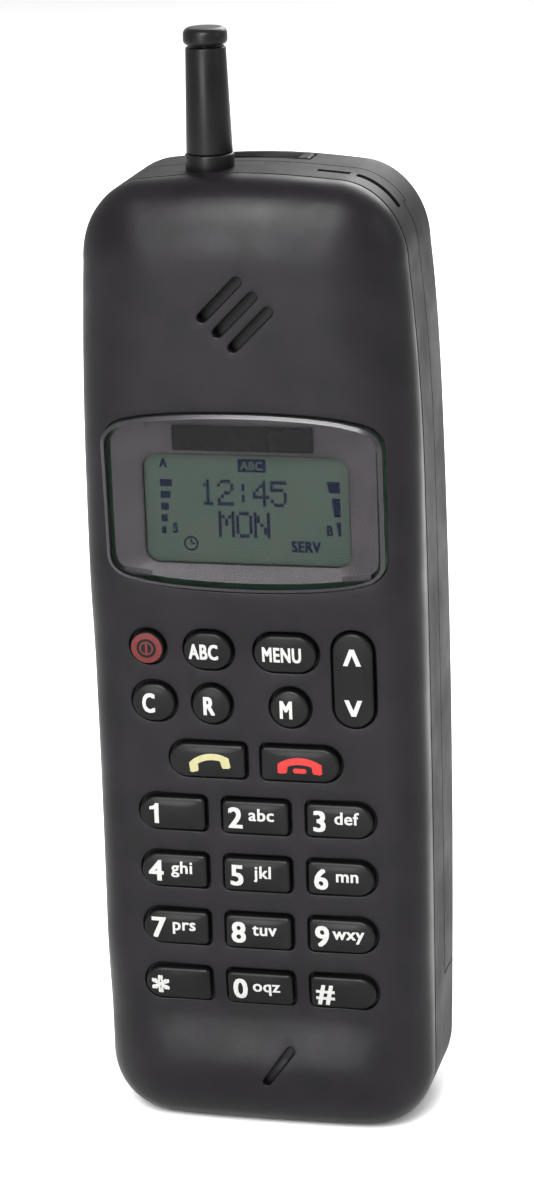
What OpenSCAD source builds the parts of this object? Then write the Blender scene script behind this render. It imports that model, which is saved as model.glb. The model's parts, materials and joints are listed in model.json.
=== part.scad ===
// Early hand-held mobile telephone, standing upright on its lower end.
// +Z runs up the phone, -Y is the keypad side, X is to the right of someone facing the keypad.
// The face is a shallow hollow arc, the back a shallow bulge, so the phone bows like a handset.

/* [Body] */
// Width of the body
body_w = 59; // [58:0.5:62]
// Height of the body without the aerial
body_h = 171.5; // [168:0.5:175]
// Depth from the face to the back at mid height
body_d = 40.9; // [40:0.1:42]
// Radius of the hollow arc of the face, seen from the side
face_r = 950; // [800:10:1100]
// Radius of the bulging arc of the back, seen from the side
back_r = 430; // [400:10:500]
// Height at which both arcs have their middle
bow_z = 83; // [78:1:88]
// Wall of the front cover
cover_wall = 1.8; // [1.6:0.1:2]
// Wall of the rear housing
housing_wall = 2; // [1.8:0.1:2.2]
// Depth of the front cover's side walls
cover_depth = 10.5; // [10:0.1:11]
// Depth from the face to the battery's joint line
battery_line = 19.7; // [19.4:0.1:20]
// Height of the housing's full-depth lower block
foot_h = 24; // [22:0.5:26]
// Height above which the battery's joint line steps back
step_z = 165; // [163:0.5:166]
// How far the joint line steps back there
step_d = 2; // [1.5:0.1:2.2]

/* [Keys] */
// Height of a number key
key_h = 6; // [5.6:0.1:6.2]
// Width of a number key
key_w = 11.8; // [11:0.1:12]
// Distance between the number columns
column_pitch = 15; // [14.8:0.1:15.2]
// Distance between the number rows
row_pitch = 10.6; // [10.2:0.1:10.8]
// Height of the top number row's middle
row_top_z = 59.2; // [58:0.1:60]
// How far a key stands out of the face
key_proud = 0.9; // [0.6:0.1:1]
// Travel of a key
key_travel = 0.7; // [0.5:0.1:0.8]
// Gap between a key and its hole
key_gap = 0.3; // [0.25:0.05:0.35]

/* [Display] */
// Height of the window's middle
window_z = 116.2; // [115:0.1:118]
// Width of the window
window_w = 48.8; // [46:0.2:50]
// Height of the window at its middle
window_h = 31.6; // [30:0.2:32]
// Width of the visible display
lcd_w = 35.9; // [34:0.1:37]
// Height of the visible display
lcd_h = 19.2; // [18:0.1:20]

/* [Aerial] */
// Distance of the aerial from the middle plane
aerial_x = -6.6; // [-8:0.1:-6]
// Depth of the aerial's axis
aerial_y = -6.4; // [-6.6:0.1:-6.2]
// Height of the aerial's tip
aerial_top_z = 195; // [194:0.5:196]
// Radius of the sliding whip
whip_r = 1.2; // [1:0.1:1.3]

/* [Hidden] */
$fn = 64;
half_w = body_w / 2;
face_y = -18.5;
back_y = face_y + body_d;
face_axis_y = face_y - face_r;
back_axis_y = back_y - back_r;
sweep = 14;
slack = 0.3;
boss_clearance_r = 2.6;
mat_y = -14.8;
board_y = -13.8;
board_t = 1.2;
flange_t = 0.6;
flange_d = cover_wall + 0.35;
pusher_end_y = mat_y - key_travel - 0.1;
axle_y = -15.7;
main_board_y = -9.4;
main_board_t = 1.1;
lcd_front_y = -16;
sleeve_z = 173.9;
cap_h = 2.9;
bay_floor_t = 2.4;
cell_r = 7.15;
cell_h = 50;
whip_low_z = 64;
sim_w = 15;
sim_h = 25;
sim_t = 0.76;
sim_travel = 12;
sim_x = 13;
sim_top_z = 100;
sim_y = -0.2;
latch_w = 17;
latch_y = 2.6;
latch_d = 5;
tooth_w = 8;
shaft_floor_z = 160;
shaft_wall = 1;
latch_low_z = shaft_floor_z + 2.2;
case_wall = 1.5;
battery_lid_t = 1.4;
contact_w = 2.6;
contact_z = [32, 38];
contact_xs = [-7.5, -2.5, 2.5, 7.5];

// Where the face lies at height z
function face_at(z) = face_y - pow(z - bow_z, 2) / (2 * face_r);
// Where the back lies at height z
function back_at(z) = back_y - pow(z - bow_z, 2) / (2 * back_r);
// Points of an elliptical arc between two angles
function arc(cx, cz, rx, rz, a0, a1, steps) =
    [for (i = [0:steps]) let (a = a0 + (a1 - a0) * i / steps) [cx + rx * cos(a), cz + rz * sin(a)]];

row_z = [for (i = [0:3]) row_top_z - i * row_pitch];

// Each key: middle x, middle z, width, height, left end radius, right end radius
square_r = 0.8;
NUMBER_KEYS = [
    for (i = [0:11])
        let (column = i % 3, row = floor(i / 3))
            [(column - 1) * column_pitch, row_z[row], key_w, key_h,
             column == 0 ? key_h / 2 : square_r, column == 2 ? key_h / 2 : square_r]
];
POWER_KEY = [-18.3, 89.5, 6, 6, 3, 3];
ABC_KEY = [-7.4, 89.4, 8.5, 6.8, 3.4, 3.4];
MENU_KEY = [6.3, 89.4, 11, 6.8, 3.4, 3.4];
CLEAR_KEY = [-17.6, 79.5, 7.6, 6.8, 3.4, 3.4];
RECALL_KEY = [-7.2, 79.5, 6.8, 6.8, 3.4, 3.4];
MEMORY_KEY = [6.7, 79.4, 6.8, 6.8, 3.4, 3.4];
SEND_KEY = [-8.3, 69.3, 13.5, 6.1, 3.05, square_r];
END_KEY = [8.3, 69.3, 13.9, 6.1, square_r, 3.05];
ROCKER_KEY = [18, 84.9, 7, 17.2, 3.5, 3.5];
PUSH_KEYS = concat(NUMBER_KEYS, [POWER_KEY, ABC_KEY, MENU_KEY, CLEAR_KEY, RECALL_KEY, MEMORY_KEY,
                                 SEND_KEY, END_KEY]);

// Places of the screws (x, z), and of the earpiece and microphone openings
SCREW_PLACES = [[-25.2, 28], [25.2, 28], [-25.2, 98], [25.2, 98], [-19.5, 159], [19.5, 159]];
EAR_X = 0.2;
EAR_Z = 149.2;
MIC_X = 3;
MIC_Z = 12.9;
LCD_Z = window_z - 1.9;

// ---- Shapes shared by several sub-parts ----

// Extrudes a front-view outline (x, z) from y0 to y1
module along_y(y0, y1) {
    translate([0, y1, 0]) rotate([90, 0, 0]) linear_extrude(y1 - y0) children();
}

// A block from one corner to the opposite one
module block(low, high) {
    translate(low) cube(high - low);
}

// A block centred in x, standing on z0
module slab(w, y0, y1, z0, z1, x = 0) {
    block([x - w / 2, y0, z0], [x + w / 2, y1, z1]);
}

// Rectangle with its own corner radius at the left and the right end, grown by g
module pill(w, h, left_r, right_r, g = 0) {
    least = 0.05;
    if (w - left_r - right_r > least)
        translate([-w / 2 + left_r, -h / 2 - g]) square([w - left_r - right_r, h + 2 * g]);
    if (h - 2 * left_r > least)
        translate([-w / 2 - g, -h / 2 + left_r]) square([left_r + g, h - 2 * left_r]);
    if (h - 2 * right_r > least)
        translate([w / 2 - right_r, -h / 2 + right_r]) square([right_r + g, h - 2 * right_r]);
    for (s = [-1, 1]) {
        translate([-w / 2 + left_r, s * (h / 2 - left_r)]) circle(left_r + g);
        if (w > h + least || left_r + right_r < h)
            translate([w / 2 - right_r, s * (h / 2 - right_r)]) circle(right_r + g);
    }
}

// Outline of the body from the front, drawn in by i
module body_outline(i = 0) {
    foot_w = 13;
    low_r = 11;
    top_rx = 13;
    top_rz = 15;
    taper = 0.9;
    right = concat(
        [[foot_w, i]],
        arc(half_w - low_r, low_r + 1.2, low_r - i, low_r - i, -80, 0, 8),
        [[half_w - i, 120]],
        arc(half_w - taper - top_rx, body_h - 1 - top_rz, top_rx - i, top_rz - i, 0, 82, 12),
        [[8, body_h - i]]
    );
    left = [for (k = [len(right) - 1:-1:0]) [-right[k][0], right[k][1]]];
    polygon(concat(right, left));
}

// Solid swept along the arc of the face, drawn in by i
module face_sweep(i = 0) {
    edge_r = 5;
    w = half_w - i;
    r = edge_r - min(i, 3);
    depth = 60;
    translate([0, face_axis_y, bow_z]) rotate([0, 90, 0]) rotate([0, 0, 90 - sweep / 2])
        rotate_extrude(angle = sweep, $fn = 180) {
            translate([face_r + i, -w + r]) square([depth, 2 * (w - r)]);
            translate([face_r + i + r, -w]) square([depth - r, 2 * w]);
            for (s = [-1, 1]) translate([face_r + i + r, s * (w - r)]) circle(r);
        }
}

// Solid swept along the arc of the back, drawn in by i
module back_sweep(i = 0) {
    edge_r = 10;
    w = half_w - i;
    r = edge_r - min(i, 4);
    depth = 60;
    back_sweep_angle = 30;
    translate([0, back_axis_y, bow_z]) rotate([0, 90, 0]) rotate([0, 0, 90 - back_sweep_angle / 2])
        rotate_extrude(angle = back_sweep_angle, $fn = 180) {
            translate([back_r - i - depth, -w + r]) square([depth, 2 * (w - r)]);
            translate([back_r - i - depth, -w]) square([depth - r, 2 * w]);
            for (s = [-1, 1]) translate([back_r - i - r, s * (w - r)]) circle(r);
        }
}

// Side profile that cuts the four end edges of the body
module end_chamfers(i = 0) {
    front = -24;
    cut = 5;
    low_back = back_at(0);
    high_back = back_at(body_h);
    rotate([90, 0, 90]) linear_extrude(2 * body_w, center = true)
        polygon([
            [front, i + 5], [front + cut, i], [low_back - cut, i], [low_back, i + cut],
            [low_back + 20, i + cut + 20], [high_back + 20, body_h - i - cut - 20],
            [high_back, body_h - i - cut], [high_back - cut, body_h - i],
            [front + cut, body_h - i], [front, body_h - i - cut], [-60, body_h - cut], [-60, cut]
        ]);
}

// The body's whole outer form, drawn in by i
module body_form(i = 0) {
    intersection() {
        face_sweep(i);
        back_sweep(i);
        along_y(-40, 40) body_outline(i);
        end_chamfers(i);
    }
}

// Everything nearer the face than depth d
module in_front_of(d) {
    translate([0, face_axis_y, bow_z]) rotate([0, 90, 0])
        cylinder(r = face_r + d, h = 2 * body_w, center = true, $fn = 1440);
}

// Outline of the display window: straight sides, bowed top and bottom, grown by g
module window_outline(g = 0) {
    corner = 3.5;
    side_h = window_h - 5;
    bow = 2.5;
    top = arc(0, 0, window_w / 2 - corner, bow, 0, 180, 12);
    offset(r = corner + g) polygon(concat(
        [for (p = top) [p[0], p[1] + side_h / 2 - corner]],
        [for (p = top) [-p[0], -p[1] - side_h / 2 + corner]]
    ));
}

module key_place(k) {
    translate([k[0], 0, k[1]]) children();
}

// A key's outline about its own middle, grown by g
module key_outline(k, g = 0) {
    pill(k[2], k[3], k[4], k[5], g);
}

// A key: cap through the cover, a wider flange behind it and a pusher for its dome
module key(k) {
    flange = 0.9;
    pusher_r = 1.6;
    cap_y = face_at(k[1]) - key_proud;
    flange_y = face_at(k[1]) + flange_d;
    root = flange_t / 2;
    color([0.07, 0.07, 0.08]) key_place(k) {
        along_y(cap_y, flange_y + root) key_outline(k);
        along_y(flange_y, flange_y + flange_t) key_outline(k, flange);
        along_y(flange_y + root, pusher_end_y) circle(pusher_r);
    }
}

// A clip or pad repeated at each x in xs
module repeated(xs) {
    for (x = xs) translate([x, 0, 0]) children();
}

// Depth at which a screw's head sits, for its place (x, z)
function screw_seat_y(p) = face_at(p[1]) + battery_line - 1.5;

// Screw from y0 to y1, with its head towards the back
module screw(x, z, y0, y1) {
    head_r = 1.9;
    shaft_r = 0.9;
    head_t = 1.2;
    translate([x, y1, z]) rotate([90, 0, 0]) {
        difference() {
            cylinder(r = head_r, h = head_t);
            translate([0, 0, -0.1]) cylinder(r = shaft_r, h = 0.8, $fn = 6);
        }
        cylinder(r = shaft_r, h = y1 - y0);
    }
}

// Round bars of radius r at every screw, from depth d0 behind the face out through the back
module drilled_at_screws(r, d0 = 2.6) {
    for (p = SCREW_PLACES) translate([p[0], face_at(p[1]) + d0, p[1]]) rotate([-90, 0, 0])
        cylinder(r = r, h = 50);
}

// The three slanted slots over the earpiece
module ear_slots() {
    pitch = 3.6;
    slot_l = 10.4;
    slot_w = 1.5;
    translate([EAR_X, EAR_Z]) rotate(45)
        for (s = [-1:1]) translate([0, s * pitch]) pill(slot_l, slot_w, slot_w / 2, slot_w / 2);
}

// ---- Front cover and display ----

module front_cover() {
    window_seat = 1;
    window_lip = 2.4;
    mic_l = 8.6;
    mic_w = 1.3;
    mic_turn = 53.7;
    boss_r = 2.3;
    boss_end = 5.8;
    thread_r = 0.92;
    cut_from = -30;
    cut_to = -10;
    color([0.16, 0.15, 0.17]) difference() {
        union() {
            intersection() {
                difference() {
                    body_form();
                    body_form(cover_wall);
                }
                in_front_of(cover_depth);
            }
            intersection() {
                body_form(cover_wall - 0.5);
                in_front_of(boss_end);
                drilled_at_screws(boss_r, cover_wall - 0.4);
            }
        }
        drilled_at_screws(thread_r);
        translate([0, 0, window_z]) {
            along_y(cut_from, face_at(window_z) + window_seat) window_outline(0.1);
            along_y(cut_from, cut_to) window_outline(-window_lip);
        }
        for (k = concat(PUSH_KEYS, [ROCKER_KEY]))
            key_place(k) along_y(cut_from, cut_to) key_outline(k, key_gap);
        along_y(cut_from, cut_to) ear_slots();
        along_y(cut_from, cut_to) translate([MIC_X, MIC_Z]) rotate(mic_turn)
            pill(mic_l, mic_w, mic_w / 2, mic_w / 2);
    }
}

module display_window() {
    raised = 0.8;
    seat = 1;
    color([0.75, 0.78, 0.78, 0.4]) difference() {
        translate([0, 0, window_z])
            along_y(face_at(window_z) - 3, face_at(window_z) + seat) window_outline();
        in_front_of(-raised);
    }
}

module display_mask() {
    sheet_t = 0.3;
    corner_r = 2;
    seat_y = face_at(window_z) + 1;
    color([0.05, 0.05, 0.05]) difference() {
        translate([0, 0, window_z]) along_y(seat_y, seat_y + sheet_t) window_outline(-2.6);
        translate([0, 0, LCD_Z]) along_y(seat_y - 1, seat_y + 1) pill(lcd_w, lcd_h, corner_r, corner_r);
    }
}

module lcd_frame() {
    rim = 2.4;
    frame_h = lcd_h + 2 * rim;
    color([0.2, 0.2, 0.2]) difference() {
        slab(lcd_w + 2 * rim + 2, lcd_front_y - 0.8, board_y, LCD_Z - frame_h / 2, LCD_Z + frame_h / 2);
        slab(lcd_w, -30, 0, LCD_Z - lcd_h / 2, LCD_Z + lcd_h / 2);
        slab(lcd_w + 2.4, lcd_front_y, 0, LCD_Z - lcd_h / 2 - 1.2, LCD_Z + lcd_h / 2 + 1.2);
    }
}

module lcd_glass() {
    glass_t = 1.1;
    color([0.42, 0.5, 0.44])
        slab(lcd_w + 2, lcd_front_y, lcd_front_y + glass_t, LCD_Z - lcd_h / 2 - 1, LCD_Z + lcd_h / 2 + 1);
}

module lcd_backlight() {
    guide_y = lcd_front_y + 1.1;
    color([0.8, 0.9, 0.7])
        slab(lcd_w + 2, guide_y, board_y, LCD_Z - lcd_h / 2 + 1.2, LCD_Z + lcd_h / 2 - 1.2);
}

module lcd_connector() {
    strip_h = 1.6;
    strip_z = lcd_h / 2 - 0.2;
    color([0.25, 0.25, 0.27]) for (z = [LCD_Z - strip_z, LCD_Z + strip_z])
        slab(lcd_w - 2, lcd_front_y + 1.1, board_y, z - strip_h / 2, z + strip_h / 2);
}

// ---- Keypad ----

// Rocker on a cross axle behind the cover
module scroll_rocker() {
    axle_r = 0.8;
    axle_l = 8.8;
    cap_y = face_at(ROCKER_KEY[1]) - key_proud;
    color([0.07, 0.07, 0.08]) key_place(ROCKER_KEY) {
        along_y(cap_y, axle_y) key_outline(ROCKER_KEY);
        translate([-axle_l / 2, axle_y, 0]) rotate([0, 90, 0]) cylinder(r = axle_r, h = axle_l);
    }
}

// Holes for the posts that locate the mat on its board
module post_holes() {
    for (x = [-22.5, 22.5], z = [64, 46, 34])
        translate([x, 0, z]) rotate([90, 0, 0]) cylinder(r = 0.8, h = 40, center = true);
}

// Rubber mat that returns the keys
module keypad_mat() {
    mat_w = 49;
    mat_t = 0.7;
    color([0.25, 0.26, 0.28]) difference() {
        slab(mat_w, mat_y, mat_y + mat_t, 20.5, 95.5);
        post_holes();
        drilled_at_screws(boss_clearance_r);
    }
}

module contact_domes() {
    dome_r = 2.4;
    dome_t = 0.3;
    rocker_reach = 5.5;
    color([0.8, 0.78, 0.7]) {
        for (k = PUSH_KEYS) translate([k[0], board_y, k[1]]) rotate([90, 0, 0])
            cylinder(r = dome_r, h = dome_t);
        for (s = [-1, 1]) translate([ROCKER_KEY[0], board_y, ROCKER_KEY[1] + s * rocker_reach])
            rotate([90, 0, 0]) cylinder(r = dome_r, h = dome_t);
    }
}

module keypad_board() {
    board_w = 50;
    color([0.1, 0.35, 0.2]) difference() {
        slab(board_w, board_y, board_y + board_t, 20, 138);
        post_holes();
        drilled_at_screws(boss_clearance_r);
    }
}

// ---- Sound ----

ear_r = 9;
ear_gap = 0.8;
ear_y = face_at(EAR_Z) + cover_wall + ear_gap;
gasket_t = 0.8;
mic_y = face_at(MIC_Z) + cover_wall + 0.4;

module earpiece_gasket() {
    bore_r = 7.4;
    color([0.1, 0.1, 0.1]) translate([EAR_X, ear_y, EAR_Z]) rotate([-90, 0, 0]) difference() {
        cylinder(r = ear_r, h = gasket_t);
        translate([0, 0, -1]) cylinder(r = bore_r, h = gasket_t + 2);
    }
}

module earpiece() {
    capsule_t = 3.6;
    magnet_r = 5;
    magnet_t = 0.8;
    color([0.55, 0.55, 0.57]) translate([EAR_X, ear_y + gasket_t, EAR_Z]) rotate([-90, 0, 0]) {
        cylinder(r = ear_r, h = capsule_t);
        translate([0, 0, capsule_t]) cylinder(r = magnet_r, h = magnet_t);
    }
}

module microphone_boot() {
    boot_t = 4;
    color([0.1, 0.1, 0.1]) translate([MIC_X, mic_y, MIC_Z]) rotate([-90, 0, 0]) difference() {
        cylinder(r = 4.6, h = boot_t);
        translate([0, 0, 1]) cylinder(r = 3, h = boot_t);
        translate([0, 0, -1]) cylinder(r = 1.2, h = boot_t);
    }
}

module microphone() {
    color([0.75, 0.75, 0.75]) translate([MIC_X, mic_y + 1, MIC_Z]) rotate([-90, 0, 0])
        cylinder(r = 3, h = 2.6);
}

module ringer() {
    color([0.12, 0.12, 0.12]) translate([12, -5, 158.4]) rotate([90, 0, 0]) difference() {
        cylinder(r = 5, h = 3.4);
        translate([0, 0, 2]) cylinder(r = 1, h = 4);
    }
}

// ---- Inner frame and boards ----

module chassis_frame() {
    fit = 0.2;
    rail = 1.8;
    front_d = 6;
    back_d = battery_line - bay_floor_t - 0.1;
    color([0.5, 0.5, 0.52]) difference() {
        intersection() {
            body_form(housing_wall + fit);
            in_front_of(back_d);
        }
        in_front_of(front_d);
        along_y(-40, 40) body_outline(housing_wall + fit + rail);
        drilled_at_screws(1.1);
        translate([aerial_x, aerial_y, 150]) cylinder(r = 4.2, h = 40);
        slab(30, -30, 30, -1, 9);
    }
}

module board_connector() {
    color([0.9, 0.88, 0.8]) slab(18, board_y + board_t, main_board_y, 100, 104, 8);
}

module main_board() {
    board_w = 49;
    color([0.1, 0.35, 0.2]) difference() {
        slab(board_w, main_board_y, main_board_y + main_board_t, 18, 153);
        drilled_at_screws(1.4);
    }
}

// Folded can over the radio section, open towards the board
module rf_shield() {
    can_w = 44;
    can_t = 0.3;
    can_y = board_y + board_t + 0.4;
    low_z = 24;
    high_z = 74;
    color([0.75, 0.75, 0.77]) difference() {
        slab(can_w, can_y, main_board_y, low_z, high_z);
        slab(can_w - 2 * can_t, can_y + can_t, 0, low_z + can_t, high_z - can_t);
    }
}

module board_chips() {
    chip_y = main_board_y - 1.6;
    color([0.08, 0.08, 0.09]) {
        slab(14, chip_y, main_board_y, 78, 92, -12);
        slab(10, chip_y, main_board_y, 80, 94, 6);
        slab(8, chip_y, main_board_y, 108, 120, -14);
        slab(12, chip_y, main_board_y, 110, 118, 12);
        slab(6, chip_y, main_board_y, 128, 134, 0);
    }
}

// ---- Rear housing and what it carries ----

// Pocket in the bay floor, long enough for the card to slide down and be lifted out
module sim_recess() {
    side_gap = 0.3;
    slab(sim_w + 2 * side_gap, sim_y - 0.15, 6,
         sim_top_z - sim_h - sim_travel - side_gap, sim_top_z + side_gap, sim_x);
}

// The latch's shaft in the top of the battery
module latch_shaft(gap = 0.3, low_z = 0) {
    slab(latch_w + 2 * gap, latch_y - gap, latch_y + latch_d + gap, low_z, body_h + 1);
}

module rear_housing() {
    connector_mouth = 24.4;
    head_seat_r = 2.1;
    color([0.13, 0.13, 0.14]) difference() {
        union() {
            // Side walls and ends, from the front cover's edge to the battery line
            difference() {
                intersection() {
                    body_form();
                    in_front_of(battery_line);
                }
                in_front_of(cover_depth);
                intersection() {
                    body_form(housing_wall);
                    in_front_of(battery_line - bay_floor_t);
                }
            }
            // Full-depth block below the battery, hollow for the connector
            difference() {
                intersection() {
                    body_form();
                    slab(80, -40, 40, -1, foot_h);
                }
                in_front_of(battery_line - 0.01);
                intersection() {
                    body_form(housing_wall);
                    slab(80, -40, 40, -1, foot_h - housing_wall);
                }
            }
            // Rim above the step in the joint line
            difference() {
                intersection() {
                    body_form();
                    in_front_of(battery_line + step_d);
                    slab(80, -40, 40, step_z, body_h + 1);
                }
                in_front_of(cover_depth);
                intersection() {
                    body_form(housing_wall);
                    in_front_of(battery_line - bay_floor_t);
                }
            }
        }
        // Way between the connector block and the board space
        intersection() {
            body_form(housing_wall);
            slab(40, -8, 8, 3, foot_h - housing_wall);
        }
        translate([aerial_x, aerial_y, 150]) cylinder(r = 3.5, h = 40);
        // Sound outlets of the ringer
        for (x = [14, 21]) slab(5, -6, -4.4, 160, 180, x);
        // Screw holes
        drilled_at_screws(1.1);
        for (p = SCREW_PLACES) translate([p[0], screw_seat_y(p), p[1]]) rotate([-90, 0, 0])
            cylinder(r = head_seat_r, h = 10);
        // Mouth of the system connector
        slab(connector_mouth, -12, -2, -1, 6.5);
        // Wells of the battery terminals
        for (x = contact_xs) slab(2.4, -20, 20, 30, 40, x);
        sim_recess();
    }
}

module system_connector() {
    color([0.1, 0.1, 0.1]) difference() {
        slab(24, -11.2, -2.4, 1.2, 8.6);
        slab(20, -10, -4, 0, 5.5);
    }
}

module connector_pins() {
    color([0.9, 0.75, 0.35]) for (i = [-5:5]) slab(0.8, -7.4, -6.6, 1.6, 5.5, i * 1.7);
}

module battery_terminals() {
    spring_end_y = 0.05;
    color([0.9, 0.75, 0.35]) repeated(contact_xs)
        slab(1.6, main_board_y + main_board_t, spring_end_y, 33, 37);
}

// Two rails that hold the card's long edges down
module sim_holder() {
    rail_t = 0.25;
    rail_w = 1.2;
    rail_y = sim_y + sim_t + 0.08;
    rail_x = sim_w / 2 + 0.3 - rail_w / 2;
    color([0.75, 0.75, 0.77]) for (s = [-1, 1])
        slab(rail_w, rail_y, rail_y + rail_t, sim_top_z - 20, sim_top_z - 3, sim_x + s * rail_x);
}

module sim_card() {
    color([0.85, 0.82, 0.7]) slab(sim_w, sim_y, sim_y + sim_t, sim_top_z - sim_h, sim_top_z, sim_x);
}

module housing_screws() {
    color([0.7, 0.7, 0.72]) for (p = SCREW_PLACES)
        screw(p[0], p[1], face_at(p[1]) + 3, screw_seat_y(p) + 1.2);
}

// ---- Aerial ----

// Depth of a bore that goes right through any of the aerial's bushes
bore_h = 30;
collar_z = body_h + 0.4;

// Bore for the sliding whip
module whip_bore() {
    translate([0, 0, -1]) cylinder(r = whip_r + 0.1, h = bore_h);
}

module antenna_socket() {
    low_z = 158;
    color([0.8, 0.65, 0.3]) translate([aerial_x, aerial_y, low_z]) difference() {
        cylinder(r = 3.5, h = collar_z - low_z);
        whip_bore();
    }
}

module antenna_collar() {
    color([0.12, 0.12, 0.13]) translate([aerial_x, aerial_y, collar_z]) difference() {
        cylinder(r = 4.2, h = sleeve_z - collar_z);
        whip_bore();
    }
}

module antenna_sleeve() {
    sleeve_h = aerial_top_z - cap_h - 0.3 - sleeve_z;
    color([0.12, 0.12, 0.13]) translate([aerial_x, aerial_y, sleeve_z]) difference() {
        cylinder(r1 = 3.95, r2 = 3.4, h = sleeve_h);
        whip_bore();
    }
}

module antenna_rod() {
    color([0.6, 0.6, 0.62]) translate([aerial_x, aerial_y, whip_low_z])
        cylinder(r = whip_r, h = aerial_top_z - cap_h - whip_low_z);
}

module antenna_cap() {
    neck = 0.7;
    cap_r = 3.75;
    color([0.1, 0.1, 0.11]) translate([aerial_x, aerial_y, aerial_top_z - cap_h])
        rotate_extrude() {
            square([cap_r - neck, cap_h]);
            translate([0, neck]) square([cap_r, cap_h - 2 * neck]);
            translate([cap_r - neck, cap_h - neck]) circle(neck);
            translate([cap_r - neck, neck]) circle(neck);
        }
}

// ---- Battery pack and its latch ----

// Outer form of the battery pack, drawn in by i
module battery_form(i = 0) {
    difference() {
        intersection() {
            body_form(i);
            slab(80, -40, 40, foot_h + slack + i, body_h + 1);
        }
        in_front_of(battery_line + slack);
        intersection() {
            in_front_of(battery_line + step_d + slack + i);
            slab(80, -40, 40, step_z - slack - i, body_h + 2);
        }
    }
}

module battery_case() {
    color([0.13, 0.13, 0.14]) difference() {
        battery_form();
        battery_inner_side();
        difference() {
            battery_form(case_wall);
            latch_shaft(slack + shaft_wall, shaft_floor_z - shaft_wall);
        }
        latch_shaft(slack, shaft_floor_z);
        slab(tooth_w + 2 * slack, -10, latch_y + 1, latch_low_z - 0.5, latch_low_z + 3);
    }
}

// The part of the battery pack that its lid takes up
module battery_inner_side() {
    intersection() {
        in_front_of(battery_line + slack + battery_lid_t);
        slab(80, -40, 40, 0, step_z - slack - 2);
    }
}

module battery_lid() {
    color([0.15, 0.15, 0.16]) difference() {
        intersection() {
            battery_form();
            battery_inner_side();
        }
        slab(tooth_w + 2 * slack, -10, latch_y + 1, latch_low_z - 0.5, latch_low_z + 3);
        for (x = contact_xs) slab(contact_w, -20, 20, contact_z[0], contact_z[1], x);
    }
}

module battery_cells() {
    cell_y = 10.3;
    lower_z = 32;
    gap = 2;
    pitch = 2 * cell_r + 0.2;
    color([0.2, 0.35, 0.6]) {
        for (x = [-pitch, 0, pitch]) translate([x, cell_y, lower_z]) cylinder(r = cell_r, h = cell_h);
        for (x = [-pitch / 2, pitch / 2])
            translate([x, cell_y, lower_z + cell_h + gap]) cylinder(r = cell_r, h = cell_h);
    }
}

module battery_contacts() {
    color([0.9, 0.75, 0.35]) repeated(contact_xs) slab(contact_w, 0.4, 1.2, contact_z[0], contact_z[1]);
}

// Push button whose tooth hooks forward towards the rear housing
module release_latch() {
    tooth_h = 1.2;
    color([0.1, 0.1, 0.11]) {
        slab(latch_w, latch_y, latch_y + latch_d, latch_low_z, body_h + 0.6);
        slab(tooth_w, latch_y - 1.2, latch_y + 1, latch_low_z + 1, latch_low_z + 1 + tooth_h);
    }
}

// Bowed leaf whose ends stand on the shaft's floor and whose crown carries the latch
module latch_spring() {
    leaf_w = 1.4;
    leaf_t = 0.3;
    leaf_r = 10;
    leaf_angle = 70;
    leaf_y = latch_y + latch_d - leaf_w - 0.2;
    color([0.8, 0.8, 0.82]) translate([0, leaf_y, latch_low_z - leaf_r]) intersection() {
        rotate([-90, 0, 0]) rotate([0, 0, -90 - leaf_angle / 2])
            rotate_extrude(angle = leaf_angle) translate([leaf_r - leaf_t, 0]) square([leaf_t, leaf_w]);
        slab(40, -5, 5, leaf_r - 2.2, leaf_r + 1);
    }
}

front_cover();
display_window();
display_mask();
lcd_frame();
lcd_glass();
lcd_backlight();
lcd_connector();
key(NUMBER_KEYS[0]);  // key_1
key(NUMBER_KEYS[1]);  // key_2
key(NUMBER_KEYS[2]);  // key_3
key(NUMBER_KEYS[3]);  // key_4
key(NUMBER_KEYS[4]);  // key_5
key(NUMBER_KEYS[5]);  // key_6
key(NUMBER_KEYS[6]);  // key_7
key(NUMBER_KEYS[7]);  // key_8
key(NUMBER_KEYS[8]);  // key_9
key(NUMBER_KEYS[9]);  // key_star
key(NUMBER_KEYS[10]);  // key_0
key(NUMBER_KEYS[11]);  // key_hash
key(POWER_KEY);  // key_power
key(ABC_KEY);  // key_abc
key(MENU_KEY);  // key_menu
key(CLEAR_KEY);  // key_clear
key(RECALL_KEY);  // key_recall
key(MEMORY_KEY);  // key_memory
key(SEND_KEY);  // key_send
key(END_KEY);  // key_end
scroll_rocker();
keypad_mat();
contact_domes();
keypad_board();
earpiece();
earpiece_gasket();
microphone();
microphone_boot();
chassis_frame();
board_connector();
main_board();
rf_shield();
board_chips();
ringer();
rear_housing();
system_connector();
connector_pins();
antenna_socket();
antenna_collar();
antenna_sleeve();
antenna_rod();
antenna_cap();
battery_terminals();
sim_holder();
sim_card();
release_latch();
latch_spring();
battery_case();
battery_lid();
battery_cells();
battery_contacts();
housing_screws();
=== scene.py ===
"""Early hand-held mobile telephone: its visible pieces, materials, studio and camera.

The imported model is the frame. Shells, keys, window and display are built here as finer
meshes in the same places, in millimetres, and are scaled to metres when they are made.
"""
import json
import math

import bmesh
import bpy
import numpy as np
from mathutils import Matrix, Vector
from mathutils.geometry import delaunay_2d_cdt


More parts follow.
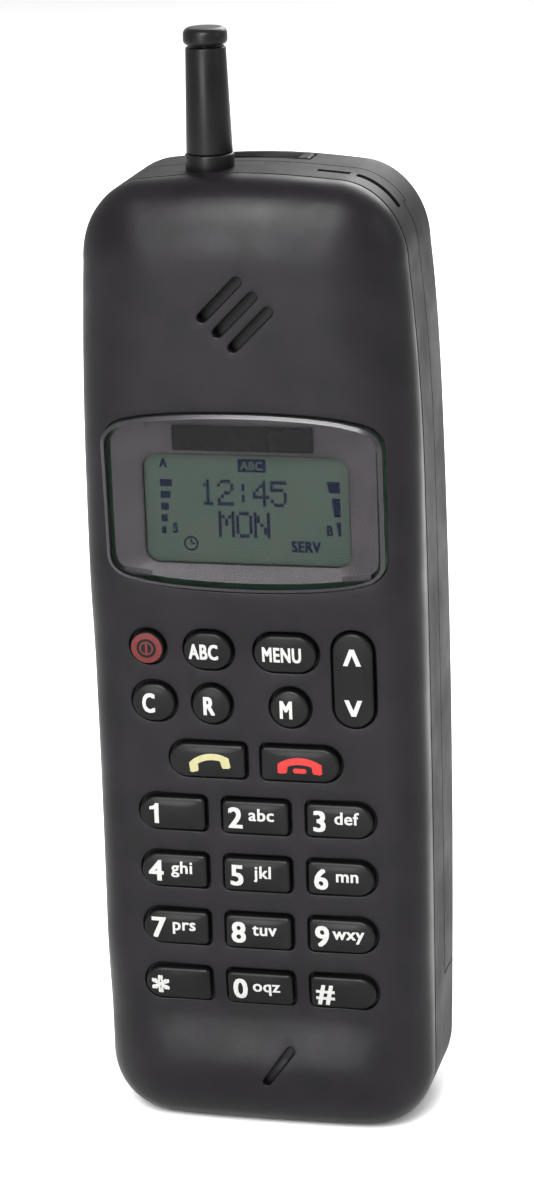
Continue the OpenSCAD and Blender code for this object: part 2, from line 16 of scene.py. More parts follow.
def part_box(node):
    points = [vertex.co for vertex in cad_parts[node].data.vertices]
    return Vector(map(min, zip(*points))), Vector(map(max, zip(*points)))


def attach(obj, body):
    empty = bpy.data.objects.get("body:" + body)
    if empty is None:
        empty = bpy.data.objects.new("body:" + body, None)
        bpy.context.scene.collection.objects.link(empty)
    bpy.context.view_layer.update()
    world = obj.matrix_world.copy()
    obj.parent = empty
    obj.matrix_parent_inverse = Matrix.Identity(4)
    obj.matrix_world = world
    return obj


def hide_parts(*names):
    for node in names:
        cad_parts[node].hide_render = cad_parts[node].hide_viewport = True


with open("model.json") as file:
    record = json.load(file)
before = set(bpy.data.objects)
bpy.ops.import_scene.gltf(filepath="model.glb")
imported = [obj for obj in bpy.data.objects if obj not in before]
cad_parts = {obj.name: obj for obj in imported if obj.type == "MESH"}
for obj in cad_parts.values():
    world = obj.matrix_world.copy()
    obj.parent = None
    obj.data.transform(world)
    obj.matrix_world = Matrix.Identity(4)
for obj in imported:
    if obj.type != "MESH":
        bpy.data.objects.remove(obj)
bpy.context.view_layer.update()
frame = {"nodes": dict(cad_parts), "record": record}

# ---- dimensions, in millimetres

MM = 0.001


def cad_box(node):
    """Lowest and highest corner of a CAD node, in millimetres."""
    low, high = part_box(node)
    return low / MM, high / MM


COVER_HIGH = cad_box("front_cover")[1]
HALF_W = COVER_HIGH.x
BODY_H = COVER_HIGH.z
FACE_Y = -18.5
BACK_Y = cad_box("battery_case")[1].y
FACE_R = 950.0
BACK_R = 430.0
BOW_Z = 83.0
COVER_DEPTH = 10.5
COVER_WALL = 1.8
HOUSING_WALL = 2.0
BATTERY_WALL = 1.5
BATTERY_LINE = 19.7
BATTERY_LOW_Z = 24.15
STEP_Z = 165.0
STEP_D = 2.0
BAY_FLOOR = 2.4
PART_GAP = 0.15

WINDOW_LOW, WINDOW_HIGH = cad_box("display_window")
WINDOW_Z = (WINDOW_LOW.z + WINDOW_HIGH.z) / 2
WINDOW_W = WINDOW_HIGH.x - WINDOW_LOW.x
WINDOW_H = WINDOW_HIGH.z - WINDOW_LOW.z
WINDOW_BOW = 2.5
WINDOW_CORNER = 3.5
LCD_W = 35.9
LCD_H = 19.2
LCD_Z = WINDOW_Z - 1.9
LCD_CORNER = 2.4

KEY_GAP = 0.3
KEY_PROUD = 1.0
KEY_DOME = 0.3
FILLET = 0.35


def face_at(z):
    """Depth of the face's hollow arc at height z."""
    return FACE_Y - (z - BOW_Z) ** 2 / (2 * FACE_R)


def back_at(z):
    """Depth of the back's bulging arc at height z."""
    return BACK_Y - (z - BOW_Z) ** 2 / (2 * BACK_R)


def smooth_step(value, start, end):
    """0 before start, 1 after end, with an S-curve between."""
    s = np.clip((value - start) / (end - start), 0, 1)
    return s * s * (3 - 2 * s)


# ---- outlines, as (x, z) arrays


def resample(points, step):
    """Adds points so that no side of a closed outline is longer than step, and drops repeats."""
    out = []
    for a, b in zip(points, np.roll(points, -1, axis=0)):
        length = np.linalg.norm((b - a)[:2])
        if length > 1e-3:
            count = max(1, math.ceil(length / step - 1e-6))
            out += [a + (b - a) * i / count for i in range(count)]
    return np.array(out)


def grown(outline, grow):
    """Moves (x, z, normal x, normal z) rows along their normals; returns (x, z) rows."""
    return outline[:, :2] + outline[:, 2:] * grow


def pill(w, h, left_r, right_r, grow=0.0, step=0.5):
    """Rectangle with its own corner radius at the left and the right end, counter-clockwise."""
    corners = [
        (w / 2 - right_r, h / 2 - right_r, right_r, 0),
        (-w / 2 + left_r, h / 2 - left_r, left_r, 90),
        (-w / 2 + left_r, -h / 2 + left_r, left_r, 180),
        (w / 2 - right_r, -h / 2 + right_r, right_r, 270),
    ]
    points = []
    for cx, cz, r, start in corners:
        count = max(4, math.ceil(math.pi / 2 * r / step))
        for i in range(count + 1):
            a = math.radians(start + 90 * i / count)
            c, s = math.cos(a), math.sin(a)
            points.append((cx + r * c, cz + r * s, c, s))
    return grown(resample(np.array(points), 2 * step), grow)


def rotated(points, degrees):
    a = math.radians(degrees)
    turn = np.array([[math.cos(a), math.sin(a)], [-math.sin(a), math.cos(a)]])
    return points @ turn


def window_outline(grow=0.0):
    """The display window: straight sides, bowed top and bottom, round corners."""
    half = WINDOW_W / 2 - WINDOW_CORNER
    rise = (WINDOW_H - 2 * WINDOW_BOW) / 2 - WINDOW_CORNER
    corner_steps, top_steps, side_step = 10, 24, 1.2
    turn = math.radians(80)
    normals = [turn * i / corner_steps for i in range(corner_steps)]
    ends = math.atan2(WINDOW_BOW * math.sin(turn), half * math.cos(turn))
    top = [ends + (math.pi - 2 * ends) * i / top_steps for i in range(top_steps + 1)]
    angles = [math.atan2(WINDOW_BOW * math.sin(n), half * math.cos(n)) for n in normals]
    angles += top + [math.pi - a for a in reversed(angles)]
    upper = []
    for a in angles:
        normal = Vector((math.cos(a) / half, math.sin(a) / WINDOW_BOW)).normalized()
        upper.append((half * math.cos(a) + WINDOW_CORNER * normal.x,
                      WINDOW_BOW * math.sin(a) + rise + WINDOW_CORNER * normal.y,
                      normal.x, normal.y))
    points = np.array(upper)
    points = resample(np.concatenate([points, -points]), side_step)
    return grown(points, grow) + np.array([0, WINDOW_Z])


def body_outline():
    """Front view of the body, counter-clockwise from the middle of the foot."""
    foot, low_r, rise_r = 13.0, 11.0, 80.0
    taper, top_rx, top_rz = 1.5, 12.0, 14.0
    straight_z = 120.0
    top_z = BODY_H - 1 - top_rz
    low_cx = HALF_W - low_r
    rise_x = low_cx + 1.0
    low_cz = (rise_x - foot) ** 2 / (2 * rise_r) + low_r
    right = [(0.0, 0.0), (foot, 0.0)]
    right += [(foot + s, s * s / (2 * rise_r)) for s in np.linspace(1, rise_x - foot - 1, 5)]
    start = math.radians(-84.5)
    right += [(low_cx + low_r * math.cos(a), low_cz + low_r * math.sin(a))
              for a in np.linspace(start, 0, 16)]
    right += [(HALF_W - taper * ((z - straight_z) / (top_z - straight_z)) ** 2, z)
              for z in np.linspace(straight_z, top_z, 8)]
    cx = HALF_W - taper - top_rx
    for a in np.linspace(0, math.radians(84), 26)[1:]:
        right.append((cx + top_rx * math.cos(a), top_z + top_rz * math.sin(a)))
    right += [(x, BODY_H - 0.0040 * x * x) for x in (12.0, 8.0, 4.0)]
    right.append((0.0, BODY_H))
    left = [(-x, z) for x, z in reversed(right[1:-1])]
    return resample(np.array(right + left), 1.4)


def inward_normals(points):
    """Unit normals that point into a counter-clockwise outline."""
    tangent = np.roll(points, -1, axis=0) - np.roll(points, 1, axis=0)
    tangent /= np.linalg.norm(tangent, axis=1)[:, None]
    return np.stack([-tangent[:, 1], tangent[:, 0]], axis=1)


def distance_inside(points, outline):
    """Signed distance of points from a closed outline, positive inside."""
    best = np.full(len(points), 1e9)
    inside = np.zeros(len(points), bool)
    for a, b in zip(outline, np.roll(outline, -1, axis=0)):
        side = b - a
        rel = points - a
        along = np.clip(rel @ side / (side @ side), 0, 1)
        best = np.minimum(best, np.linalg.norm(rel - along[:, None] * side, axis=1))
        crosses = (a[1] > points[:, 1]) != (b[1] > points[:, 1])
        if a[1] != b[1]:
            at = a[0] + (points[:, 1] - a[1]) * (b[0] - a[0]) / (b[1] - a[1])
            inside ^= crosses & (points[:, 0] < at)
    return np.where(inside, best, -best)


BODY = body_outline()
BODY_IN = inward_normals(BODY)

# ---- the face's form

EDGE_IN = 6.5
EDGE_DROP = 5.5
HEAD_EDGE_IN = 14.0
HEAD_EDGE_DROP = 8.5
EDGE_POWER = 2.0
CROWN = 0.0013
RECESS = 1.0
CHIN_DIP = 0.9
HEAD_DOME = 1.2
DOME_FROM = 138.0
KEYPAD_TOP, KEYPAD_FULL = 101, 84
CHIN_HIGH, CHIN_LOW = 23, 11
DIP_TOP, DIP_FULL, DIP_FLAT, DIP_HALF_W = 31, 22, 14, 22
SOFT_HEAD, SOFT_FOOT = (96, 150), (-36, -8)
SIDE_FADE, FADE_FROM, FADE_TO = 0.35, 20, 26


def edge_drop(inset, z):
    """How far the face has rolled back at a distance from the outline, more softly at its ends."""
    head = np.maximum(smooth_step(z, *SOFT_HEAD), smooth_step(-z, *SOFT_FOOT))
    reach = EDGE_IN + (HEAD_EDGE_IN - EDGE_IN) * head
    drop = EDGE_DROP + (HEAD_EDGE_DROP - EDGE_DROP) * head
    u = np.clip((reach - inset) / reach, 0, 1)
    return drop * (1 - (1 - u ** EDGE_POWER) ** (1 / EDGE_POWER))


def face_form(x, z):
    """Face without its rolled edge: arc, crown, domed head, sunken keypad with a raised chin."""
    above_chin = 1 - smooth_step(-z, -CHIN_HIGH, -CHIN_LOW)
    keypad_share = smooth_step(-z, -KEYPAD_TOP, -KEYPAD_FULL) * above_chin
    sunken = RECESS * keypad_share * (1 - SIDE_FADE * smooth_step(abs(x), FADE_FROM, FADE_TO))
    dip_share = smooth_step(-z, -DIP_TOP, -DIP_FULL) * above_chin
    sunken += CHIN_DIP * dip_share * (1 - smooth_step(abs(x), DIP_FLAT, DIP_HALF_W))
    dome = HEAD_DOME * np.clip((z - DOME_FROM) / (BODY_H - DOME_FROM), 0, 1) ** 2
    return face_at(z) + CROWN * x * x + sunken + dome


def face_surface(points):
    """Depth of the face's outer surface at (x, z) points."""
    inset = np.maximum(distance_inside(points, BODY), 0)
    return face_form(points[:, 0], points[:, 1]) + edge_drop(inset, points[:, 1])


def face_point(x, z):
    return float(face_surface(np.array([[x, z]]))[0])


def part_y(z):
    """Depth of the joint between front cover and rear housing."""
    return face_at(z) + COVER_DEPTH


# ---- mesh building


class Shell:
    """Collects vertices in millimetres and faces, ring by ring."""

    def __init__(self):
        self.verts = []
        self.faces = []
        self.materials = []

    def ring(self, outline, depth):
        """Adds (x, z) points at one depth, or at one depth each; returns their numbers."""
        depths = np.broadcast_to(depth, len(outline))
        first = len(self.verts)
        self.verts += [(p[0], y, p[1]) for p, y in zip(outline, depths)]
        return list(range(first, len(self.verts)))

    def add(self, face, material=0):
        self.faces.append(face)
        self.materials.append(material)

    def bridge(self, a, b, material=0):
        """Joins two rings of the same length with four-sided faces."""
        for sides in zip(a, a[1:] + a[:1], b[1:] + b[:1], b):
            self.add(sides, material)

    def loft(self, last, loops, material=0):
        """Joins a ring to each (outline, depth) in turn; returns the last ring."""
        for outline, depth in loops:
            following = self.ring(outline, depth)
            self.bridge(last, following, material)
            last = following
        return last

    def slab(self, outline, front_y, back_y):
        """Adds a flat plate of an outline's shape."""
        front = self.ring(outline, front_y)
        back = self.ring(outline, back_y)
        self.bridge(front, back)
        self.add(tuple(front))
        self.add(tuple(reversed(back)))

    def fan(self, ring, centre):
        """Closes a ring with triangles to a middle point."""
        self.verts.append(centre)
        middle = len(self.verts) - 1
        for a, b in zip(ring, ring[1:] + ring[:1]):
            self.add((a, b, middle))

    def object(self, name, materials, sharp=35):
        """Makes the object, scaled to metres, merged, facing outwards and smooth-shaded."""
        mesh = bpy.data.meshes.new(name)
        mesh.from_pydata([tuple(c * MM for c in v) for v in self.verts], [], self.faces)
        for material in materials:
            mesh.materials.append(material)
        for polygon, index in zip(mesh.polygons, self.materials):
            polygon.material_index = index
        work = bmesh.new()
        work.from_mesh(mesh)
        bmesh.ops.remove_doubles(work, verts=work.verts, dist=1e-7)
        bmesh.ops.dissolve_degenerate(work, edges=work.edges, dist=1e-8)
        bmesh.ops.recalc_face_normals(work, faces=work.faces)
        work.to_mesh(mesh)
        work.free()
        return finished(name, mesh, sharp)


def linked(name, data):
    """Makes an object of some data and puts it in the scene."""
    obj = bpy.data.objects.new(name, data)
    bpy.context.scene.collection.objects.link(obj)
    return obj


def smooth(mesh, sharp):
    """Shades a mesh smooth, with edges sharp past an angle."""
    mesh.shade_smooth()
    mesh.set_sharp_from_angle(angle=math.radians(sharp))


def finished(name, mesh, sharp=35):
    smooth(mesh, sharp)
    return linked(name, mesh)


def place(obj, body, slot, *nodes):
    """Rides a piece on its body and hides the CAD nodes that it stands for."""
    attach(obj, body)
    if nodes:
        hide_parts(*nodes)


def block(low, high, turn=0.0, about=(0.0, 0.0)):
    """A block, turned about a point of the (x, z) plane."""
    corners = np.array([[x, y, z] for x in (low[0], high[0]) for y in (low[1], high[1])
                        for z in (low[2], high[2])], float)
    flat = rotated(corners[:, [0, 2]] - np.array(about), turn) + np.array(about)
    corners[:, 0], corners[:, 2] = flat[:, 0], flat[:, 1]
    shell = Shell()
    shell.verts = [tuple(corner) for corner in corners.tolist()]
    for face in ((0, 1, 3, 2), (4, 6, 7, 5), (0, 4, 5, 1),
                 (2, 3, 7, 6), (0, 2, 6, 4), (1, 5, 7, 3)):
        shell.add(face)
    return shell


def cut(obj, tool, operation="DIFFERENCE"):
    """Applies a boolean with another object and removes that object."""
    modifier = obj.modifiers.new("cut", "BOOLEAN")
    modifier.operation = operation
    modifier.object = tool
    modifier.solver = "MANIFOLD"
    graph = bpy.context.evaluated_depsgraph_get()
    mesh = bpy.data.meshes.new_from_object(obj.evaluated_get(graph))
    obj.modifiers.clear()
    obj.data = mesh
    bpy.data.objects.remove(tool)


def circle(cx, cz, r, steps):
    """Points around a circle."""
    angles = [2 * math.pi * i / steps for i in range(steps)]
    return [(cx + r * math.cos(a), cz + r * math.sin(a)) for a in angles]


def lathe(name, profile, centre, material, steps=64, bored=False):
    """Body of revolution about a vertical axis from (radius, z) points, closed or bored."""
    shell = Shell()
    rings = []
    for r, z in profile:
        first = len(shell.verts)
        shell.verts += [(x, y, z) for x, y in circle(*centre, r, steps)]
        rings.append(list(range(first, first + steps)))
    for a, b in zip(rings, rings[1:]):
        shell.bridge(a, b)
    if bored:
        shell.bridge(rings[-1], rings[0])
    else:
        for end in (0, -1):
            shell.fan(rings[end], (*centre, profile[end][1]))
    return shell.object(name, [material])


# ---- materials


def node_material(name, color, roughness, metallic=0.0, specular=0.5):
    """A Principled material; returns it with its tree and shader."""
    material = bpy.data.materials.new(name)
    material.use_nodes = True
    tree = material.node_tree
    shader = tree.nodes["Principled BSDF"]
    shader.inputs["Base Color"].default_value = (*color, 1)
    shader.inputs["Roughness"].default_value = roughness
    shader.inputs["Metallic"].default_value = metallic
    shader.inputs["Specular IOR Level"].default_value = specular
    return material, tree, shader


def noise(tree, size_mm, detail=2.0, rough=0.5):
    """Noise in the object's own coordinates with features of about size_mm."""
    coordinates = tree.nodes.new("ShaderNodeTexCoord")
    texture = tree.nodes.new("ShaderNodeTexNoise")
    texture.inputs["Scale"].default_value = 1 / (size_mm * MM)
    texture.inputs["Detail"].default_value = detail
    texture.inputs["Roughness"].default_value = rough
    tree.links.new(coordinates.outputs["Object"], texture.inputs["Vector"])
    return texture.outputs["Fac"]


def vary(tree, shader, socket, value, low, high, start=0.35, end=0.65):
    """Lets a noise move one of the shader's inputs between two greys or colours."""
    node = tree.nodes.new("ShaderNodeValToRGB")
    for element, position, shade in zip(node.color_ramp.elements, (start, end), (low, high)):
        element.position = position
        element.color = (*shade, 1) if isinstance(shade, tuple) else (shade, shade, shade, 1)
    tree.links.new(value, node.inputs["Fac"])
    tree.links.new(node.outputs["Color"], shader.inputs[socket])


def bump(tree, shader, height, strength, distance_mm):
    node = tree.nodes.new("ShaderNodeBump")
    node.inputs["Strength"].default_value = strength
    node.inputs["Distance"].default_value = distance_mm * MM
    tree.links.new(height, node.inputs["Height"])
    tree.links.new(node.outputs["Normal"], shader.inputs["Normal"])


def moulded(name, color, roughness, grain_mm, grain, specular=0.5, shine=0.12):
    """Moulded plastic: spark-eroded grain, handling shine and a faint mottle of colour."""
    tint, mottle_mm, shine_mm, grain_depth = 0.25, 9, 14, 0.06
    material, tree, shader = node_material(name, color, roughness, specular=specular)
    vary(tree, shader, "Base Color", noise(tree, mottle_mm, 3),
         tuple(c * (1 - tint) for c in color), tuple(c * (1 + tint) for c in color))
    vary(tree, shader, "Roughness", noise(tree, shine_mm, 5, 0.6),
         roughness - shine / 2, roughness + shine / 2)
    bump(tree, shader, noise(tree, grain_mm, 3, 0.6), grain, grain_depth)
    return material


def printed(name, color, roughness=0.5, specular=0.3):
    """Printed ink with slightly uneven cover."""
    material, tree, shader = node_material(name, color, roughness, specular=specular)
    vary(tree, shader, "Base Color", noise(tree, 0.5), tuple(c * 0.9 for c in color), color)
    bump(tree, shader, noise(tree, 0.2), 0.1, 0.02)
    return material


def clear(name, color, alpha, roughness, specular):
    """Clear plastic seen as a thin tint with its own gloss."""
    material, tree, shader = node_material(name, color, roughness, specular=specular)
    shader.inputs["Alpha"].default_value = alpha
    shader.inputs["IOR"].default_value = 1.49
    vary(tree, shader, "Roughness", noise(tree, 12, 3), roughness, roughness + 0.04)
    return material


def metal(name, color, roughness):
    """Metal with fine handling marks."""
    streak_mm = 0.3
    material, tree, shader = node_material(name, color, roughness, metallic=1.0)
    vary(tree, shader, "Roughness", noise(tree, streak_mm, 4), roughness * 0.8, roughness * 1.3)
    bump(tree, shader, noise(tree, streak_mm, 3), 0.08, 0.02)
    return material


COVER = moulded("cover_charcoal", (0.0062, 0.005, 0.0064), 0.4, 0.28, 0.3, 0.26)
REAR = moulded("rear_black", (0.0075, 0.0066, 0.0076), 0.48, 0.5, 0.5, 0.14)
KEY = moulded("key_black", (0.0045, 0.0044, 0.005), 0.36, 0.35, 0.1, 0.22)
BEZEL = moulded("bezel_grey", (0.036, 0.031, 0.036), 0.4, 0.3, 0.2, 0.4)
BLACK = moulded("plain_black", (0.01, 0.01, 0.011), 0.55, 0.4, 0.3, 0.4)
AERIAL = moulded("aerial_black", (0.0055, 0.0048, 0.0055), 0.36, 0.6, 0.12, 0.25)
GLOSS = moulded("gloss_black", (0.003, 0.003, 0.003), 0.1, 0.5, 0.01, 0.12, 0.02)
LEGEND = printed("legend_white", (0.34, 0.34, 0.33))
SEND_INK = printed("legend_yellow", (0.3, 0.28, 0.16))
END_INK = printed("legend_red", (0.33, 0.025, 0.023))
POWER_INK = printed("legend_dull_red", (0.1, 0.016, 0.015))
SEGMENT = printed("segment_navy", (0.006, 0.009, 0.026), 0.5, 0.05)
WINDOW = clear("window_clear", (0.02, 0.02, 0.022), 0.12, 0.03, 0.3)
WINDOW_EDGE = clear("window_edge", (0.035, 0.032, 0.036), 0.75, 0.2, 0.45)
STEEL = metal("tinned_steel", (0.62, 0.62, 0.62), 0.3)
CAST = metal("cast_frame", (0.4, 0.4, 0.42), 0.5)
CHROME = metal("bright_metal", (0.3, 0.3, 0.31), 0.2)
GOLD = metal("gold_flash", (0.83, 0.62, 0.25), 0.25)
BOARD = moulded("solder_resist", (0.01, 0.075, 0.03), 0.3, 1.2, 0.2)
IVORY = moulded("ivory_plastic", (0.62, 0.6, 0.52), 0.35, 0.6, 0.1)
WRAP = moulded("cell_wrap", (0.03, 0.08, 0.24), 0.3, 0.8, 0.1)
LIGHT_GUIDE = moulded("light_guide", (0.6, 0.7, 0.5), 0.3, 0.6, 0.1)


def lcd_material():
    """Grey-green display glass, darker in a faint mottle."""
    color = (0.042, 0.061, 0.048)
    material, tree, shader = node_material("lcd_green", color, 0.45, specular=0.15)
    vary(tree, shader, "Base Color", noise(tree, 16),
         (0.036, 0.056, 0.047), (0.048, 0.066, 0.05), 0.3, 0.7)
    bump(tree, shader, noise(tree, 0.25), 0.05, 0.01)
    return material


LCD = lcd_material()

# ---- keys, as the CAD places them

NUMBERS = [("key_1", "1", ""), ("key_2", "2", "abc"), ("key_3", "3", "def"),
           ("key_4", "4", "ghi"), ("key_5", "5", "jkl"), ("key_6", "6", "mn"),
           ("key_7", "7", "prs"), ("key_8", "8", "tuv"), ("key_9", "9", "wxy"),
           ("key_star", "*", ""), ("key_0", "0", "oqz"), ("key_hash", "#", "")]
SQUARE_R = 0.8


class Key:
    """A key's outline: its middle, size and end radii, from its CAD node's box."""

    def __init__(self, node, flange, left_r=None, right_r=None):
        low, high = cad_box(node)
        self.node = node
        self.x = (low.x + high.x) / 2
        self.z = (low.z + high.z) / 2
        self.w = high.x - low.x - 2 * flange
        self.h = high.z - low.z - 2 * flange
        self.back_y = high.y
        round_r = min(self.w, self.h) / 2
        self.left_r = left_r or round_r
        self.right_r = right_r or round_r

    def outline(self, grow=0.0):
        shape = pill(self.w, self.h, self.left_r, self.right_r, grow)
        return shape + np.array([self.x, self.z])

    def top(self, x, z):
        """Depth of the domed key top."""
        across = np.maximum(1 - ((x - self.x) / (self.w / 2)) ** 2, 0)
        along = np.maximum(1 - ((z - self.z) / (self.h / 2)) ** 2, 0)
        return self.level + self.slope * (z - self.z) - KEY_DOME * across * along

    def settle(self):
        """Stands the key on the face where it is."""
        self.level = face_point(self.x, self.z) - KEY_PROUD
        self.slope = (face_point(self.x, self.z + 2) - face_point(self.x, self.z - 2)) / 4


def all_keys():
    flange = 0.9
    keys = {}
    for i, (node, _, _) in enumerate(NUMBERS):
        left_r = None if i % 3 == 0 else SQUARE_R
        right_r = None if i % 3 == 2 else SQUARE_R
        keys[node] = Key(node, flange, left_r, right_r)
    for name in ("power", "abc", "menu", "clear", "recall", "memory"):
        keys["key_" + name] = Key("key_" + name, flange)
    keys["key_send"] = Key("key_send", flange, None, SQUARE_R)
    keys["key_end"] = Key("key_end", flange, SQUARE_R, None)
    rocker = Key("scroll_rocker", flange)
    rocker.w, rocker.h = 7.0, 17.2
    rocker.left_r = rocker.right_r = rocker.w / 2
    keys["scroll_rocker"] = rocker
    for key in keys.values():
        key.settle()
    return keys


KEYS = all_keys()

EAR_X, EAR_Z = 0.2, 149.2
EAR_PITCH, EAR_LENGTH, EAR_W, EAR_TURN = 3.6, 10.4, 1.6, 45
MIC_X, MIC_Z = 3.0, 12.9
MIC_LENGTH, MIC_W, MIC_TURN = 8.6, 1.4, 53.7


def ear_slot(index, grow=0.0):
    """Outline of one of the three slanted earpiece slots."""
    shape = pill(EAR_LENGTH, EAR_W, EAR_W / 2, EAR_W / 2, grow)
    shape = rotated(shape + np.array([0, index * EAR_PITCH]), EAR_TURN)
    return shape + np.array([EAR_X, EAR_Z])


def mic_slot(grow=0.0):
    shape = rotated(pill(MIC_LENGTH, MIC_W, MIC_W / 2, MIC_W / 2, grow), MIC_TURN)
    return shape + np.array([MIC_X, MIC_Z])


# ---- front cover


def cover_openings():
    """A function for each opening in the face that gives its outline, grown by an amount."""
    window_gap = 0.12
    openings = [lambda g, k=k: k.outline(KEY_GAP + g) for k in KEYS.values()]
    openings += [lambda g, i=i: ear_slot(i, g) for i in (-1, 0, 1)]
    return openings + [mic_slot, lambda g: window_outline(g + window_gap)]


def face_triangles(rim, openings):
    """Triangulates the face between its rim and its openings.

    Returns the points, triangles, distances from the nearest opening and the rim's point numbers.
    """
    fillet_steps = (0.0, 0.1, 0.22, FILLET)
    grid_step, rim_clear, fillet_clear = 1.7, 0.9, 0.5
    groups = [[shape(g) for g in fillet_steps] for shape in openings]
    edges = [group[0] for group in groups]
    xs = np.arange(-HALF_W, HALF_W + grid_step, grid_step)
    zs = np.arange(0, BODY_H + grid_step, grid_step)
    grid = np.array([(x + (grid_step / 2 if j % 2 else 0), z)
                     for j, z in enumerate(zs) for x in xs])
    grid = grid[distance_inside(grid, rim) > rim_clear]
    for edge in edges:
        grid = grid[distance_inside(grid, edge) < -(FILLET + fillet_clear)]

    points, sides = [], []
    for loop in [rim] + [ring for group in groups for ring in group]:
        first = len(points)
        points += [tuple(p) for p in loop]
        sides += [(first + i, first + (i + 1) % len(loop)) for i in range(len(loop))]
    points += [tuple(p) for p in grid]
    flat, _, triangles, origins, _, _ = delaunay_2d_cdt(
        [Vector(p) for p in points], sides, [], 0, 1e-5)
    flat = np.array([tuple(p) for p in flat])
    number = {origin: i for i, group in enumerate(origins) for origin in group}

    triangles = np.array(triangles)
    middles = flat[triangles].mean(axis=1)
    keep = distance_inside(middles, rim) > 0
    near = np.full(len(flat), 1e9)
    for edge in edges:
        keep &= distance_inside(middles, edge) < 0
        near = np.minimum(near, np.maximum(-distance_inside(flat, edge), 0))
    return flat, triangles[keep], near, [number[i] for i in range(len(rim))]


def front_cover():
    """The front shell: face with filleted openings, rolled edges, side walls and a hollow back."""
    rim_in = 3.2
    flat, triangles, near, rim = face_triangles(BODY + BODY_IN * rim_in, cover_openings())
    surface = face_surface(flat)
    short = np.clip(FILLET - near, 0, FILLET)
    rounded = FILLET - np.sqrt(FILLET ** 2 - short ** 2)
    shell = Shell()
    front = shell.ring(flat, surface + rounded)
    back = shell.ring(flat, surface + COVER_WALL)
    for a, b, c in triangles:
        shell.add((front[a], front[b], front[c]))
        shell.add((back[c], back[b], back[a]))
    sides = [side for a, b, c in triangles for side in ((a, b), (b, c), (c, a))]
    shared = set(sides)
    rim_sides = set(zip(rim, rim[1:] + rim[:1]))
    rim_sides |= {(b, a) for a, b in rim_sides}
    for a, b in sides:
        if (b, a) not in shared and (a, b) not in rim_sides:
            shell.add((front[a], front[b], back[b], back[a]))

    loops = []
    for inset in (2.5, 1.9, 1.35, 0.9, 0.55, 0.3, 0.12, 0.0):
        loop = BODY + BODY_IN * inset
        loops.append((loop, face_form(loop[:, 0], loop[:, 1]) + edge_drop(inset, loop[:, 1])))
    for inset, lift in ((0.0, -0.3), (0.22, 0.0), (COVER_WALL, 0.0), (COVER_WALL, -3.5)):
        loops.append((BODY + BODY_IN * inset, part_y(BODY[:, 1]) + lift))
    shell.bridge(shell.loft([front[i] for i in rim], loops), [back[i] for i in rim])

    felt_gap, felt_edge, felt_t = 0.2, 0.6, 0.15
    felt = flat_shape("microphone_felt", [mic_slot(felt_edge)],
                      lambda x, z: face_point(x, z) + COVER_WALL + felt_gap, BLACK, felt_t)
    place(felt, "handset", "elastomer")
    cover = shell.object("front_cover_shell", [COVER], 50)
    place(cover, "handset", "cover_plastic", "front_cover")


# ---- rear housing and battery

BACK_SIDE_IN = 11.0
BACK_HEAD_IN = 6.0
BACK_END_IN = 5.0
BACK_CROWN = 0.0022


def rear_solid(name, inset=0.0, front=0.0):
    """Everything behind the front cover as one closed form, drawn in by inset."""
    outline = BODY + BODY_IN * inset
    z = outline[:, 1]
    spine_low, spine_high = 34, 136
    middle = np.stack([np.zeros(len(z)), np.clip(z, spine_low, spine_high)], axis=1)
    chamfer, wall_lift, roll_share, roll_steps = 0.22, 0.25, 0.92, 12
    head_from, head_full = 120, 165

    def front_depth(loop):
        return part_y(loop[:, 1]) + PART_GAP + front

    def back_depth(loop):
        return back_at(loop[:, 1]) - BACK_CROWN * loop[:, 0] ** 2 - inset

    def cap(edge, depth_at, steps):
        loops = [edge + (middle - edge) * s for s in steps]
        return [(loop, depth_at(loop)) for loop in loops]

    shell = Shell()
    start = BODY + BODY_IN * (inset + chamfer)
    seam = part_y(z) + PART_GAP + front
    ring = shell.ring(start, seam)
    shell.loft(ring, cap(start, front_depth, (0.5, 1.0)))
    loops = [(outline, seam + wall_lift)]
    side_share = BODY_IN[:, 0] ** 2
    head_share = smooth_step(z, head_from, head_full)
    side_in = BACK_SIDE_IN + (BACK_HEAD_IN - BACK_SIDE_IN) * head_share
    reach = BACK_END_IN + (side_in - BACK_END_IN) * side_share
    for k in range(roll_steps + 1):
        a = math.pi / 2 * k / roll_steps
        loop = outline + BODY_IN * (reach * (1 - math.cos(a)))[:, None]
        loops.append((loop, back_depth(loop) - roll_share * reach * (1 - math.sin(a))))
    shell.loft(ring, loops + cap(loop, back_depth, (0.2, 0.4, 0.6, 0.8, 1.0)))
    return shell.object(name, [REAR])


def battery_space(name, grow):
    """The space behind the battery's stepped joint line, its edge moved back by grow."""
    low_z, step_z = BATTERY_LOW_Z + grow, STEP_Z + grow
    far_y, far_z = BACK_Y + 20, BODY_H + 9
    profile = [(face_at(z) + BATTERY_LINE + PART_GAP + grow, z)
               for z in np.linspace(low_z, step_z, 40)]
    profile += [(face_at(z) + BATTERY_LINE + STEP_D + PART_GAP + grow, z)
                for z in np.linspace(step_z, far_z, 5)]
    profile += [(far_y, far_z), (far_y, low_z)]
    shell = Shell()
    for x in (-2 * HALF_W, 2 * HALF_W):
        shell.verts += [(x, y, z) for y, z in profile]
    n = len(profile)
    shell.add(tuple(range(n)))
    shell.add(tuple(range(2 * n - 1, n - 1, -1)))
    for i in range(n):
        j = (i + 1) % n
        shell.add((i, n + i, n + j, j))
    return shell.object(name, [])


